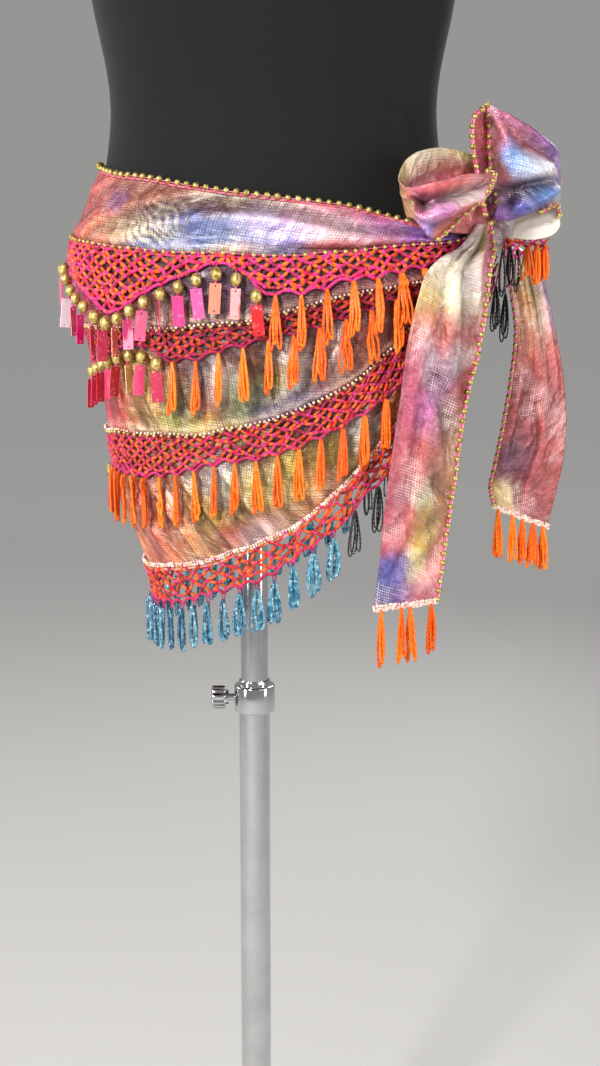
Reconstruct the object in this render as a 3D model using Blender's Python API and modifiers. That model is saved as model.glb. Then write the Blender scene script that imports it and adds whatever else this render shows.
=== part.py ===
"""Beaded hip scarf for belly dance, tied round a limbless dress form on a telescopic stand.

Frame: metres, +Z up, X to the viewer's right, the wearer's front towards -Y.  The origin is the
centre of the base plate's underside, on the axis of the pole.  The scarf is a long shallow
triangle of cloth wound round the hips: its point hangs at the left hip (-X) and its two ends
meet in a bow at the right hip (+X).  Heights on the scarf are millimetres below the waist, and
places round it are degrees from the left hip towards the bow.
"""

import bisect
import math
from types import SimpleNamespace

import bmesh
import bpy
from mathutils import Matrix, Vector

MM = 0.001

# ---- driving dimensions (metres) --------------------------------------------------------------
WAIST_HEIGHT = 1.020
FORM_OFFSET_X = 0.017          # the form's middle stands a little to the right of the pole
SECTION_POWER = 2.2            # superellipse power of every level section
CLOTH = 1.6 * MM               # wall of the scarf
NET = 1.1 * MM                 # wall of the netted bands
NET_GAP = 1.2 * MM             # air between cloth and net
TRIM = 2.4 * MM                # depth of the beaded loops
TRIM_GAP = 0.6 * MM
SEAM_ANGLE = 0.08              # degrees from the left hip to the first edge, 0.2 mm each side

BASE_RADIUS = 0.160
BASE_THICK = 0.007
HUB_RADIUS = 0.021
HUB_HEIGHT = 0.030
TUBE_RADIUS = 0.0125
TUBE_BORE = 0.0113
TUBE_TOP = 0.571
MAST_RADIUS = 0.0110
MAST_BORE = 0.0096
MAST_BOTTOM = 0.265
RUNNING_GAP = 0.3 * MM
FORM_BOTTOM = WAIST_HEIGHT - 0.255
SOCKET_BOTTOM = 0.745
SOCKET_DEPTH = 0.014
KNOB_HEIGHT = 0.556
COLLAR_RADIUS = 0.0165
COLLAR_HALF = 0.011
BOSS_END = -0.0205
STUD_RADIUS = 0.0025

ROUND_STEPS = 26
BASE_STEPS = 32
TUBE_STEPS = 20

# ---- level sections of the dress form: mm above the waist, half width, depth front and back ----
FORM_COLUMNS = ("rise", "half", "front", "back")
FORM_ROWS = (
    (470, 52, 51, 51),
    (416, 62, 58, 60),
    (402, 84, 63, 66),
    (388, 120, 67, 72),
    (366, 156, 74, 79),
    (332, 168, 88, 87),
    (285, 159, 112, 95),
    (200, 155, 130, 98),
    (81, 137, 103, 90),
    (0, 124, 93, 87),
    (-41, 128, 100, 97),
    (-67, 139, 105, 105),
    (-94, 149.6, 108.6, 113.6),
    (-113, 151.6, 110.6, 117.6),
    (-144, 147.6, 111.6, 120.6),
    (-183, 137, 111, 118),
    (-222, 128, 108, 110),
    (-245, 116, 98, 100),
    (-255, 96, 82, 84),
)

# ---- level sections of the scarf's outer face: mm below the waist ------------------------------
CLOTH_COLUMNS = ("drop", "half", "front", "back")
CLOTH_ROWS = (
    (0, 125, 94, 89),
    (20, 128, 98, 94),
    (41, 132, 103.5, 100),
    (67, 142, 108, 108),
    (94, 153, 112, 117),
    (113, 155, 114, 121),
    (144, 151, 115, 124),
    (183, 140, 114, 121),
    (222, 132, 112, 114),
    (246, 129, 110, 110),
    (302, 116, 106, 102),
    (359, 98, 100, 95),
    (430, 85, 95, 88),
)

# ---- the scarf's lines, mm below the waist, by degrees from the left hip towards the bow -------
LINE_COLUMNS = ("turn", "top", "head_1", "edge_1", "head_2", "edge_2", "head_3", "edge_3", "hem", "foot")
LINE_ROWS = (
    (0, 42, 95, 108, 163, 193, 244, 268, 348, 375),
    (10, 44, 96, 113, 163, 192, 244, 269, 348, 375),
    (20, 47, 98, 128, 163, 189, 243, 272, 347, 374),
    (30, 50, 100, 139, 163, 183, 241, 273, 346, 373),
    (40, 53, 102, 151, 163, 177, 241, 273, 343, 371),
    (46, 54, 104, 147, 163, 174, 241, 272, 341, 370),
    (53, 56, 105, 138, 163, 175, 240, 270, 339, 366),
    (60, 59, 107, 130, 163, 185, 240, 267, 336, 361),
    (68, 62, 108, 122, 161, 184, 239, 262, 332, 357),
    (76, 65, 108, 115, 159, 177, 234, 258, 325, 352),
    (82, 67, 109, 120, 158, 174, 232, 257, 322, 349),
    (89, 69, 110, 136, 154, 169, 228, 253, 315, 343),
    (96, 71, 110, 137, 149, 165, 222, 249, 309, 333),
    (103, 73, 108, 134, 144, 160, 215, 242, 298, 324),
    (110, 75, 107, 128, 139, 154, 207, 235, 285, 313),
    (117, 79, 105, 126, 136, 148, 196, 226, 269, 299),
    (124, 84, 103, 122, 133, 141, 180, 215, 251, 282),
    (131, 89, 102, 119, 130, 138, 160, 202, 231, 268),
    (138, 90, 101, 115, 125, 134, 148, 182, 208, 246),
    (145, 87, 98, 110, 119, 128, 138, 163, 184, 222),
    (152, 82, 92, 103, 111, 119, 128, 144, 160, 194),
    (160, 74, 85, 94, 101, 108, 116, 127, 138, 166),
)
CLOTH_SHARES = (0.0, 0.08, 0.16, 0.24, 0.33, 0.45, 0.58, 0.71, 0.85, 1.0)   # closer over the hip
NET_CUTS = {1: 3, 2: 1, 3: 2}
BACK_STRETCH = 1.075           # the back runs a little further round than the front
GATHER_START = 112             # from here to its end the cloth stands off towards the knot
FRONT_STAND_OFF = 0.012
BACK_STAND_OFF = 0.020

# ---- the scarf's largest soft folds: middle line, slope, width, height -------------------------
FOLD_COLUMNS = ("turn", "drop", "slope", "width", "reach", "height")
FOLD_ROWS = (
    (62, 76, 0.30, 9, 52, 1.8),
    (104, 84, 0.22, 8, 44, 2.2),
    (128, 96, 0.10, 7, 30, 2.6),
    (34, 212, 0.55, 11, 34, 2.2),
    (70, 210, 0.50, 12, 30, 2.0),
    (98, 184, 0.75, 10, 26, 2.2),
    (26, 306, 0.50, 13, 26, 2.6),
    (58, 300, 0.60, 13, 24, 2.4),
    (88, 284, 0.80, 12, 22, 2.2),
)

# ---- hanging trims: share of a strand's length and its half width there, mm --------------------
LOOP_ROWS = ((0.0, 1.5), (0.68, 3.3), (1.0, 1.6))
DROP_ROWS = ((0.0, 1.0), (0.17, 3.3), (0.32, 1.2), (0.36, 4.2), (1.0, 4.2))
STRIP_HALF = 1.5 * MM

# line sewn to, first and last strand (degrees), how many, length and outward lean (mm)
TRIM_COLUMNS = ("name", "line", "first", "last", "count", "length", "lean", "kind", "finish")
TRIM_ROWS = (
    ("drops_1", "edge_1", 7, 86, 16, 38, 5.8, "drop", "paillettes"),
    ("loops_1", "edge_1", 91, 138, 8, 39, 5.8, "loop", "orange_beads"),
    ("drops_2", "edge_2", 21, 56, 8, 37, 2.9, "drop", "paillettes"),
    ("loops_2", "edge_2", 61, 138, 12, 38, 2.9, "loop", "orange_beads"),
    ("drops_3", "edge_3", 2.5, 12.5, 3, 36, 0.0, "drop", "paillettes"),
    ("loops_3", "edge_3", 17, 139, 19, 38, 0.0, "loop", "orange_beads"),
    ("loops_hem_blue", "foot", 5, 112, 16, 36, 0.0, "loop", "blue_beads"),
    ("loops_hem_black", "foot", 119, 141, 4, 34, 0.0, "loop", "black_beads"),
)

# ---- diamond net below the hem -----------------------------------------------------------------
DIAMOND_PITCH = 0.0200
DIAMOND_LEVELS = 4
HEM_LAP = 3.0                  # mm that the net overlaps the hem
STRAND_SHARE = 0.16            # half a crossing, as a share of the half pitch
NET_BORDER = 2.2 * MM

# ---- bow, right hip: places are mm, x and y from the pole axis, drop below the waist -----------
KNOT_CENTRE = (183.0, -12.4, 90.0)
KNOT_HALF = (15.2, 30.0, 21.5)

LOOP_SECTION_COLUMNS = ("x_top", "y_top", "drop_top", "x_low", "y_low", "drop_low", "belly")
LEFT_LOOP_ROWS = (
    (181, -42.1, 80, 181, -42.1, 97, 0),
    (171, -60, 58, 172, -59, 93, 1),
    (156, -79, 40, 158, -77, 94, 2),
    (138, -95, 33, 143, -92, 93, 3),
    (121, -110, 37, 128, -107, 93, 3),
    (109, -120, 46, 117, -116, 94, 2),
    (104.5, -130, 56, 111, -125, 91, 0),
    (109, -138, 60, 117, -136, 92, -3),
    (122, -138, 52, 122, -138, 95, -6),
    (140, -127, 43, 126, -136, 97, -8),
    (157, -109, 38, 129, -134, 98, -8),
    (170, -87, 37, 132, -130, 98, -6),
)
RIGHT_LOOP_ROWS = (
    (170, -66, 2, 181, -46.0, 84, 0),
    (182, -70, 6, 188, -60, 84, -6),
    (197, -68, 13, 200, -62, 81, -9),
    (214, -62, 24, 214, -56, 78, -8),
    (228, -49, 34, 228, -46, 73, -3),
    (232, -32, 42, 232, -30, 84, 0),
    (224, -20, 50, 227, -19, 92, 3),
    (211, -15, 60, 213, -14, 95, 3),
    (199, -14, 76, 198.6, -14, 97, 0),
)
TAIL_COLUMNS = ("drop", "x_left", "y_left", "x_right", "y_right", "fold")
FRONT_TAIL_ROWS = (
    (99, 171, -62, 187, -37.4, 0),
    (104, 153, -87, 182, -64, 3),
    (110, 138, -104, 178, -76, 5),
    (123, 126, -111, 175, -82, 7),
    (142, 120, -115, 173, -84, 8),
    (177, 113, -115, 168, -84, 8),
    (213, 109, -113, 160, -82, 7),
    (257, 103, -110, 154, -80, 7),
    (301, 98, -107, 149, -78, 6),
    (339, 95, -105, 144, -77, 4),
    (366, 92, -103, 141, -76, 2),
)
BACK_TAIL_ROWS = (
    (99, 198.6, -18, 197, 4, 0),
    (106, 197, -14, 213, 8, 2),
    (118, 197, -12, 225, 8, 5),
    (136, 200, -12, 230, 5, 6),
    (170, 204, -13, 238, 4, 8),
    (205, 201, -13, 245, 3, 8),
    (240, 196, -12, 248, 2, 7),
    (278, 190, -11, 245, 1, 6),
    (300, 187, -10, 240, 1, 4),
    (322, 190, -9, 235, 0, 2),
)
TAIL_ACROSS = 8
TAIL_TRIM_GAP = 1.0 * MM


# ---- tables ------------------------------------------------------------------------------------
def column(columns, rows, key, value, name):
    """The named column at `value` of the key column, straight between rows."""
    key_index = columns.index(key)
    name_index = columns.index(name)
    ordered = sorted(rows, key=lambda row: row[key_index])
    keys = [row[key_index] for row in ordered]
    upper = min(max(bisect.bisect_left(keys, value), 1), len(keys) - 1)
    low, high = ordered[upper - 1], ordered[upper]
    share = (value - keys[upper - 1]) / (keys[upper] - keys[upper - 1])
    share = min(max(share, 0.0), 1.0)
    return low[name_index] + (high[name_index] - low[name_index]) * share


def records(columns, rows):
    """The rows of a table with their columns as names."""
    return [SimpleNamespace(**dict(zip(columns, row))) for row in rows]


def smooth(low, high, value):
    share = min(max((value - low) / (high - low), 0.0), 1.0)
    return share * share * (3.0 - 2.0 * share)


# ---- the scarf's surface -----------------------------------------------------------------------
def section_point(columns, rows, key, level, angle):
    """Point of a level superellipse section, in the section's own plane."""
    half = column(columns, rows, key, level, "half") * MM
    side = "front" if math.cos(angle) > 0 else "back"
    depth = column(columns, rows, key, level, side) * MM
    sine, cosine = math.sin(angle), math.cos(angle)
    power = SECTION_POWER
    reach = (abs(sine) ** power + abs(cosine) ** power) ** (-1.0 / power)
    return Vector((FORM_OFFSET_X + half * sine * reach, -depth * cosine * reach))


def turn_angle(side, turn):
    """Angle round the body of a place `turn` degrees from the left hip, on the front or back."""
    if side == "front":
        return math.radians(-90.0 + turn)
    return math.radians(-90.0 - turn * BACK_STRETCH)


def fold_height(side, turn, drop):
    """How far the soft folds lift the cloth at one place."""
    lift = 0.0
    slant = 1.0 if side == "front" else 0.8
    for fold in records(FOLD_COLUMNS, FOLD_ROWS):
        along = turn - fold.turn
        across = (drop - fold.drop - fold.slope * along * slant) / fold.width
        lift += fold.height * MM * math.exp(-across * across - (along / fold.reach) ** 4)
    return lift


def skin(side, turn, drop, out=0.0):
    """A point of the scarf's outer face, or `out` beyond it, with folds and the gather."""
    angle = turn_angle(side, turn)
    step = 0.01
    here = section_point(CLOTH_COLUMNS, CLOTH_ROWS, "drop", drop, angle)
    ahead = section_point(CLOTH_COLUMNS, CLOTH_ROWS, "drop", drop, angle + step)
    along = (ahead - here).normalized()
    outward = Vector((along.y, -along.x))
    stand_off = FRONT_STAND_OFF if side == "front" else BACK_STAND_OFF
    stand_off *= smooth(GATHER_START, 160.0, turn) ** 1.5
    place = here + outward * (out + stand_off + fold_height(side, turn, drop))
    return Vector((place.x, place.y, WAIST_HEIGHT - drop * MM))


def hanging(side, turn, root_drop, drop, out):
    """A point below `root_drop` that hangs plumb where the cloth draws in, and lies on it elsewhere."""
    axis = Vector((FORM_OFFSET_X, 0.0))
    root = skin(side, turn, root_drop, out)
    lying = skin(side, turn, drop, out)
    if (root.xy - axis).length > (lying.xy - axis).length:
        return Vector((root.x, root.y, lying.z))
    return lying


def degree_width(side, turn, drop):
    """Width of one degree of turn on the cloth there."""
    return (skin(side, turn + 0.5, drop) - skin(side, turn - 0.5, drop)).length


def line(name, turn):
    return column(LINE_COLUMNS, LINE_ROWS, "turn", turn, name)


def stations():
    turns = [row[0] for row in LINE_ROWS]
    return [SEAM_ANGLE] + turns[1:]


# ---- objects -----------------------------------------------------------------------------------
def start_scene():
    for item in list(bpy.data.objects):
        bpy.data.objects.remove(item)
    model = bpy.data.collections.new("belly_dance_hip_scarf")
    cutters = bpy.data.collections.new("cutters")
    for group in (model, cutters):
        bpy.context.scene.collection.children.link(group)
    return model, cutters


def finish_material(name, colour, roughness, metallic=0.0):
    material = bpy.data.materials.get(name)
    if material is None:
        material = bpy.data.materials.new(name)
        material.use_nodes = True
        shader = material.node_tree.nodes["Principled BSDF"]
        shader.inputs["Base Color"].default_value = (*colour, 1.0)
        shader.inputs["Roughness"].default_value = roughness
        shader.inputs["Metallic"].default_value = metallic
    return material


FINISHES = {
    "scarf_cloth": ((0.78, 0.55, 0.58), 0.45, 0.2),
    "pink_net": ((0.80, 0.16, 0.24), 0.70, 0.0),
    "orange_beads": ((0.90, 0.34, 0.04), 0.30, 0.0),
    "blue_beads": ((0.10, 0.45, 0.62), 0.30, 0.0),
    "black_beads": ((0.04, 0.04, 0.06), 0.25, 0.0),
    "paillettes": ((0.90, 0.35, 0.42), 0.25, 0.3),
    "form_jersey": ((0.045, 0.045, 0.05), 0.85, 0.0),
    "chrome_tube": ((0.75, 0.75, 0.76), 0.18, 1.0),
    "black_plate": ((0.05, 0.05, 0.055), 0.45, 0.2),
}


def add_object(name, mesh, collection, finish):
    item = bpy.data.objects.new(name, mesh)
    collection.objects.link(item)
    own = f"{name}_{finish}"
    mesh.materials.append(finish_material(own, *FINISHES[finish]))
    return item


def solidify(item, thickness, outward):
    """Give an open sheet its wall, on the outer side of its faces or on the inner."""
    wall = item.modifiers.new("wall", "SOLIDIFY")
    wall.thickness = thickness
    wall.offset = 1.0 if outward else -1.0
    return wall


def sheet(name, rows, thickness, collection, finish, outward=False):
    """An open sheet through rows of points, top row first, given a wall."""
    shape = bmesh.new()
    lines = [[shape.verts.new(point) for point in row] for row in rows]
    for upper, lower in zip(lines, lines[1:]):
        for left in range(len(upper) - 1):
            right = left + 1
            shape.faces.new((upper[left], lower[left], lower[right], upper[right]))
    mesh = bpy.data.meshes.new(name)
    shape.to_mesh(mesh)
    shape.free()
    mesh.shade_smooth()
    item = add_object(name, mesh, collection, finish)
    solidify(item, thickness, outward)
    return item


def ordered(side, points):
    """Points of one row in the order that turns the sheet's face outwards."""
    return points if side == "front" else points[::-1]


def loft(name, rings, collection, finish):
    """A closed solid through rings of points, from the top ring to the bottom one."""
    shape = bmesh.new()
    loops = [[shape.verts.new(point) for point in ring] for ring in rings]
    for upper, lower in zip(loops, loops[1:]):
        for here in range(len(upper)):
            there = (here + 1) % len(upper)
            shape.faces.new((upper[here], lower[here], lower[there], upper[there]))
    shape.faces.new(loops[0])
    shape.faces.new(loops[-1][::-1])
    mesh = bpy.data.meshes.new(name)
    shape.to_mesh(mesh)
    shape.free()
    mesh.shade_smooth()
    return add_object(name, mesh, collection, finish)


def turned(name, profile, steps, collection, finish, closed=True):
    """A turned solid: a profile of (radius, height) spun round +Z with a Screw modifier."""
    shape = bmesh.new()
    points = [shape.verts.new((radius, 0.0, height)) for radius, height in profile]
    pairs = list(zip(points, points[1:]))
    if closed:
        pairs.append((points[-1], points[0]))
    for first, second in pairs:
        shape.edges.new((first, second))
    mesh = bpy.data.meshes.new(name)
    shape.to_mesh(mesh)
    shape.free()
    item = add_object(name, mesh, collection, finish)
    screw = item.modifiers.new("turn", "SCREW")
    screw.axis = "Z"
    screw.steps = steps
    screw.render_steps = steps
    screw.use_merge_vertices = True
    screw.merge_threshold = 0.00005
    return item


def cut(item, cutter):
    tool = item.modifiers.new("cut", "BOOLEAN")
    tool.operation = "DIFFERENCE"
    tool.object = cutter


def rod(name, radius, length, place, collection, steps=16):
    """A plain cylinder along X, as a cutter."""
    shape = bmesh.new()
    bmesh.ops.create_cone(shape, cap_ends=True, segments=steps, radius1=radius, radius2=radius, depth=length)
    bmesh.ops.rotate(shape, verts=shape.verts, cent=(0, 0, 0), matrix=Matrix.Rotation(math.pi / 2, 3, "Y"))
    mesh = bpy.data.meshes.new(name)
    shape.to_mesh(mesh)
    shape.free()
    item = bpy.data.objects.new(name, mesh)
    item.location = place
    item.hide_render = True
    item.display_type = "WIRE"
    collection.objects.link(item)
    return item


# ---- dress form and stand ----------------------------------------------------------------------
def dress_form(model):
    rings = []
    for rise, *_ in FORM_ROWS:
        ring = []
        for index in range(ROUND_STEPS):
            angle = 2.0 * math.pi * index / ROUND_STEPS
            place = section_point(FORM_COLUMNS, FORM_ROWS, "rise", rise, angle)
            ring.append((place.x, place.y, WAIST_HEIGHT + rise * MM))
        rings.append(ring)
    loft("dress_form", rings, model, "form_jersey")


def neck_cap(model):
    base = WAIST_HEIGHT + FORM_ROWS[0][0] * MM + RUNNING_GAP
    radius = 0.052
    profile = (
        (0.0, base + 0.012),
        (radius - 0.006, base + 0.011),
        (radius, base + 0.007),
        (radius, base),
        (0.0, base),
    )
    cap = turned("neck_cap", profile, ROUND_STEPS, model, "black_plate", closed=False)
    cap.location.x = FORM_OFFSET_X


def form_socket(model):
    """Collar under the form, with the blind hole that turns on the mast."""
    top = FORM_BOTTOM - RUNNING_GAP
    bore = MAST_RADIUS + RUNNING_GAP
    profile = (
        (0.0, top),
        (0.040, top),
        (0.040, top - 0.004),
        (0.020, top - 0.007),
        (0.018, SOCKET_BOTTOM),
        (bore, SOCKET_BOTTOM),
        (bore, SOCKET_BOTTOM + SOCKET_DEPTH),
        (0.0, SOCKET_BOTTOM + SOCKET_DEPTH),
    )
    turned("form_socket", profile, TUBE_STEPS, model, "chrome_tube", closed=False)


def stand(model, cutters):
    turned("base_plate", (
        (0.0, HUB_HEIGHT - 0.022),
        (TUBE_RADIUS + RUNNING_GAP, HUB_HEIGHT - 0.022),
        (TUBE_RADIUS + RUNNING_GAP, HUB_HEIGHT),
        (HUB_RADIUS, HUB_HEIGHT),
        (HUB_RADIUS + 0.004, BASE_THICK),
        (BASE_RADIUS - 0.003, BASE_THICK),
        (BASE_RADIUS, BASE_THICK - 0.003),
        (BASE_RADIUS, 0.0),
        (0.0, 0.0),
    ), BASE_STEPS, model, "black_plate", closed=False)

    tube_bottom = HUB_HEIGHT - 0.022 + RUNNING_GAP
    tube = turned("stand_tube", (
        (TUBE_BORE, TUBE_TOP),
        (TUBE_RADIUS, TUBE_TOP),
        (TUBE_RADIUS, tube_bottom),
        (TUBE_BORE, tube_bottom),
    ), TUBE_STEPS, model, "chrome_tube")
    mast_top = SOCKET_BOTTOM + SOCKET_DEPTH - RUNNING_GAP
    turned("mast_tube", (
        (MAST_BORE, mast_top),
        (MAST_RADIUS, mast_top),
        (MAST_RADIUS, MAST_BOTTOM),
        (MAST_BORE, MAST_BOTTOM),
    ), TUBE_STEPS, model, "chrome_tube")

    collar_bore = TUBE_RADIUS + RUNNING_GAP
    collar = turned("clamp_collar", (
        (collar_bore, KNOB_HEIGHT + COLLAR_HALF),
        (COLLAR_RADIUS, KNOB_HEIGHT + COLLAR_HALF),
        (COLLAR_RADIUS, KNOB_HEIGHT - COLLAR_HALF),
        (collar_bore, KNOB_HEIGHT - COLLAR_HALF),
    ), TUBE_STEPS, model, "chrome_tube")
    bore_length = 0.020
    hole = rod("stud_hole", STUD_RADIUS + RUNNING_GAP, bore_length, (-0.0165, 0.0, KNOB_HEIGHT), cutters)
    cut(collar, hole)
    cut(tube, hole)


def clamp_knob(model):
    """Turned hand knob and its stud, spun round its own axis and laid along -X."""
    stud_tip = MAST_RADIUS + RUNNING_GAP + 0.1 * MM
    profile = (
        (0.0, 0.0345),
        (0.0060, 0.0340),
        (0.0092, 0.0320),
        (0.0098, 0.0285),
        (0.0098, 0.0250),
        (0.0078, 0.0228),
        (0.0052, 0.0218),
        (0.0046, 0.0172),
        (STUD_RADIUS, 0.0170),
        (STUD_RADIUS, stud_tip),
        (0.0, stud_tip),
    )
    knob = turned("clamp_knob", profile, 16, model, "chrome_tube", closed=False)
    knob.rotation_euler = (0.0, -math.pi / 2, 0.0)
    knob.location = (0.0, 0.0, KNOB_HEIGHT)


# ---- scarf -------------------------------------------------------------------------------------
def cloth_panel(model, side):
    rows = []
    for share in CLOTH_SHARES:
        row = []
        for turn in stations():
            top, hem = line("top", turn), line("hem", turn)
            row.append(skin(side, turn, top + (hem - top) * share))
        rows.append(ordered(side, row))
    sheet(f"cloth_{side}", rows, CLOTH, model, "scarf_cloth")


def net_band(model, side, tier):
    rows = []
    for index in range(NET_CUTS[tier] + 1):
        share = index / NET_CUTS[tier]
        row = []
        for turn in stations():
            head, edge = line(f"head_{tier}", turn), line(f"edge_{tier}", turn)
            row.append(skin(side, turn, head + (edge - head) * share, NET_GAP))
        rows.append(ordered(side, row))
    sheet(f"net_{tier}_{side}", rows, NET, model, "pink_net", outward=True)


def comb(name, place, strands, trim, collection, outward=True):
    """A narrow strip with flat strands hanging from it, all one open sheet with a wall.

    place(at, across, drop, out) gives the point `across` metres beside strand place `at`.
    """
    profile = DROP_ROWS if trim.kind == "drop" else LOOP_ROWS
    length = trim.length * MM
    widest = max(half for _, half in profile)
    lean_end = max(next(share for share, half in profile if half == widest), 0.4)
    shape = bmesh.new()
    edges = []
    for at in strands:
        root = profile[0][1] * MM
        pair = []
        for across in (-root, root):
            upper = shape.verts.new(place(at, across, -STRIP_HALF, 0.0))
            lower = shape.verts.new(place(at, across, STRIP_HALF, 0.0))
            pair.append((upper, lower))
        edges.append(pair)
        previous = (pair[0][1], pair[1][1])
        for share, half in profile[1:]:
            out = trim.lean * MM * min(share / lean_end, 1.0)
            drop = STRIP_HALF + share * (length - 2.0 * STRIP_HALF)
            lower = [shape.verts.new(place(at, sign * half * MM, drop, out)) for sign in (-1.0, 1.0)]
            shape.faces.new((previous[0], lower[0], lower[1], previous[1]))
            previous = lower
    flat = [pair for strand in edges for pair in strand]
    for (upper, lower), (next_upper, next_lower) in zip(flat, flat[1:]):
        shape.faces.new((upper, lower, next_lower, next_upper))
    mesh = bpy.data.meshes.new(name)
    shape.to_mesh(mesh)
    shape.free()
    item = add_object(name, mesh, collection, trim.finish)
    solidify(item, TRIM, outward)


def panel_trims(model, side):
    for trim in records(TRIM_COLUMNS, TRIM_ROWS):
        def place(turn, across, drop, out, edge=trim.line):
            root = line(edge, turn)
            shifted = turn + across / degree_width(side, turn, root)
            return hanging(side, shifted, root, root + drop / MM, NET_GAP + NET + TRIM_GAP + out)

        spacing = (trim.last - trim.first) / (trim.count - 1)
        strands = [trim.first + spacing * index for index in range(trim.count)]
        comb(f"{trim.name}_{side}", place, strands, trim, model, outward=side == "front")


def hem_net(model, side):
    """Diamond net hung from the hem: crossings and strands as one open sheet, cut right through."""
    first, last = 1.0, 158.0
    turns = [first]
    while turns[-1] < last:
        here = turns[-1]
        turns.append(here + 0.5 * DIAMOND_PITCH / degree_width(side, here, line("hem", here)))
    turns = turns[:len(turns) // 2 * 2 - 1]
    scale = (last - first) / (turns[-1] - first)
    turns = [first + (turn - first) * scale for turn in turns]

    shape = bmesh.new()
    end = len(turns) - 1

    def point(column_at, level):
        """A point of the net by column (whole or part) and level, 0 at the head, LEVELS at the foot."""
        lower = min(int(column_at), len(turns) - 2)
        lower = max(lower, 0)
        turn = turns[lower] + (turns[lower + 1] - turns[lower]) * (column_at - lower)
        head = line("hem", turn) - HEM_LAP
        foot = line("foot", turn)
        border = NET_BORDER / MM
        inner_head, inner_foot = head + border, foot - border
        if level < 0:
            drop = head
        elif level > DIAMOND_LEVELS:
            drop = foot
        else:
            drop = inner_head + (inner_foot - inner_head) * level / DIAMOND_LEVELS
        return skin(side, turn, drop, NET_GAP)

    corners = {}
    for at in range(len(turns)):
        for level in range(DIAMOND_LEVELS + 1):
            if (at + level) % 2:
                continue
            corner = {}
            at_border = level in (0, DIAMOND_LEVELS)
            if at > 0 or at_border:
                corner["left"] = shape.verts.new(point(max(at - STRAND_SHARE, 0), level))
            if at < end or at_border:
                corner["right"] = shape.verts.new(point(min(at + STRAND_SHARE, end), level))
            if level > 0:
                corner["up"] = shape.verts.new(point(at, level - STRAND_SHARE))
            if level < DIAMOND_LEVELS:
                corner["down"] = shape.verts.new(point(at, level + STRAND_SHARE))
            corners[at, level] = corner

    def face(*points):
        kept = [item for item in points if item is not None]
        if len(kept) > 2:
            shape.faces.new(kept if side == "front" else kept[::-1])

    for (at, level), corner in corners.items():
        order = [corner.get(key) for key in ("left", "down", "right", "up")]
        face(*order)
        for step in (-1, 1):
            below = corners.get((at + step, level + 1))
            if below is None:
                continue
            if step == 1:
                face(corner["down"], below["left"], below["up"], corner["right"])
            else:
                face(corner["left"], below["up"], below["right"], corner["down"])
    for level, edge_level in ((0, -1), (DIAMOND_LEVELS, DIAMOND_LEVELS + 1)):
        inner = []
        for at in range(len(turns)):
            corner = corners.get((at, level))
            if corner is None:
                continue
            inner.append((corner["left"], max(at - STRAND_SHARE, 0)))
            inner.append((corner["right"], min(at + STRAND_SHARE, end)))
        outer = [shape.verts.new(point(place, edge_level)) for _, place in inner]
        for index in range(len(inner) - 1):
            here, there = inner[index][0], inner[index + 1][0]
            if level == 0:
                face(outer[index], here, there, outer[index + 1])
            else:
                face(here, outer[index], outer[index + 1], there)
    mesh = bpy.data.meshes.new(f"net_hem_{side}")
    shape.to_mesh(mesh)
    shape.free()
    item = add_object(f"net_hem_{side}", mesh, model, "pink_net")
    solidify(item, NET, True)


# ---- bow ---------------------------------------------------------------------------------------
def place_mm(x, y, drop):
    return Vector((x * MM, y * MM, WAIST_HEIGHT - drop * MM))


def knot(model):
    """Wrapped knot: a ball pressed flat, with the ridges of the cloth that binds it."""
    shape = bmesh.new()
    bmesh.ops.create_uvsphere(shape, u_segments=18, v_segments=10, radius=1.0)
    for vert in shape.verts:
        direction = vert.co.normalized()
        ridge = 1.0 + 0.05 * math.sin(6.0 * direction.z + 3.0 * direction.x)
        centre = place_mm(*KNOT_CENTRE)
        half = Vector(KNOT_HALF) * MM
        vert.co = centre + Vector([d * h * ridge for d, h in zip(direction, half)])
    mesh = bpy.data.meshes.new("knot")
    shape.to_mesh(mesh)
    shape.free()
    mesh.shade_smooth()
    add_object("knot", mesh, model, "scarf_cloth")


def bow_loop(model, name, table):
    """A loop of the bow: the cloth runs out from the knot, turns and comes back."""
    across = 5
    rows = []
    for index in range(across + 1):
        share = index / across
        row = []
        for section in records(LOOP_SECTION_COLUMNS, table):
            upper = place_mm(section.x_top, section.y_top, section.drop_top)
            lower = place_mm(section.x_low, section.y_low, section.drop_low)
            swell = section.belly * MM * math.sin(math.pi * share)
            row.append(upper.lerp(lower, share) + Vector((0.0, swell, 0.0)))
        rows.append(row)
    sheet(name, rows, CLOTH, model, "scarf_cloth")


def tail(model, name, table):
    """A hanging end of the scarf, with soft lengthwise folds."""
    rows = []
    for section in records(TAIL_COLUMNS, table):
        left = place_mm(section.x_left, section.y_left, section.drop)
        right = place_mm(section.x_right, section.y_right, section.drop)
        row = []
        for index in range(TAIL_ACROSS + 1):
            share = index / TAIL_ACROSS
            wave = math.sin(math.pi * share) * (0.55 + 0.45 * math.cos(3.0 * math.pi * share))
            row.append(left.lerp(right, share) + Vector((0.0, -section.fold * MM * wave, 0.0)))
        rows.append(row)
    sheet(name, rows, CLOTH, model, "scarf_cloth")
    return rows[-1]


def tail_fringe(model, name, hem, strands, length):
    """Beaded loops sewn to the end of a tail, at shares of its width; length in mm."""
    chord = (hem[-1] - hem[0]).length

    def place(share, across, drop, out):
        at = min(max(share + across / chord, 0.0), 1.0) * (len(hem) - 1)
        lower = min(int(at), len(hem) - 2)
        edge = hem[lower].lerp(hem[lower + 1], at - lower)
        return edge + Vector((0.0, -TAIL_TRIM_GAP - out, -drop))

    trim = SimpleNamespace(kind="loop", length=length, lean=0.0, finish="orange_beads")
    comb(name, place, strands, trim, model)


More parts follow.
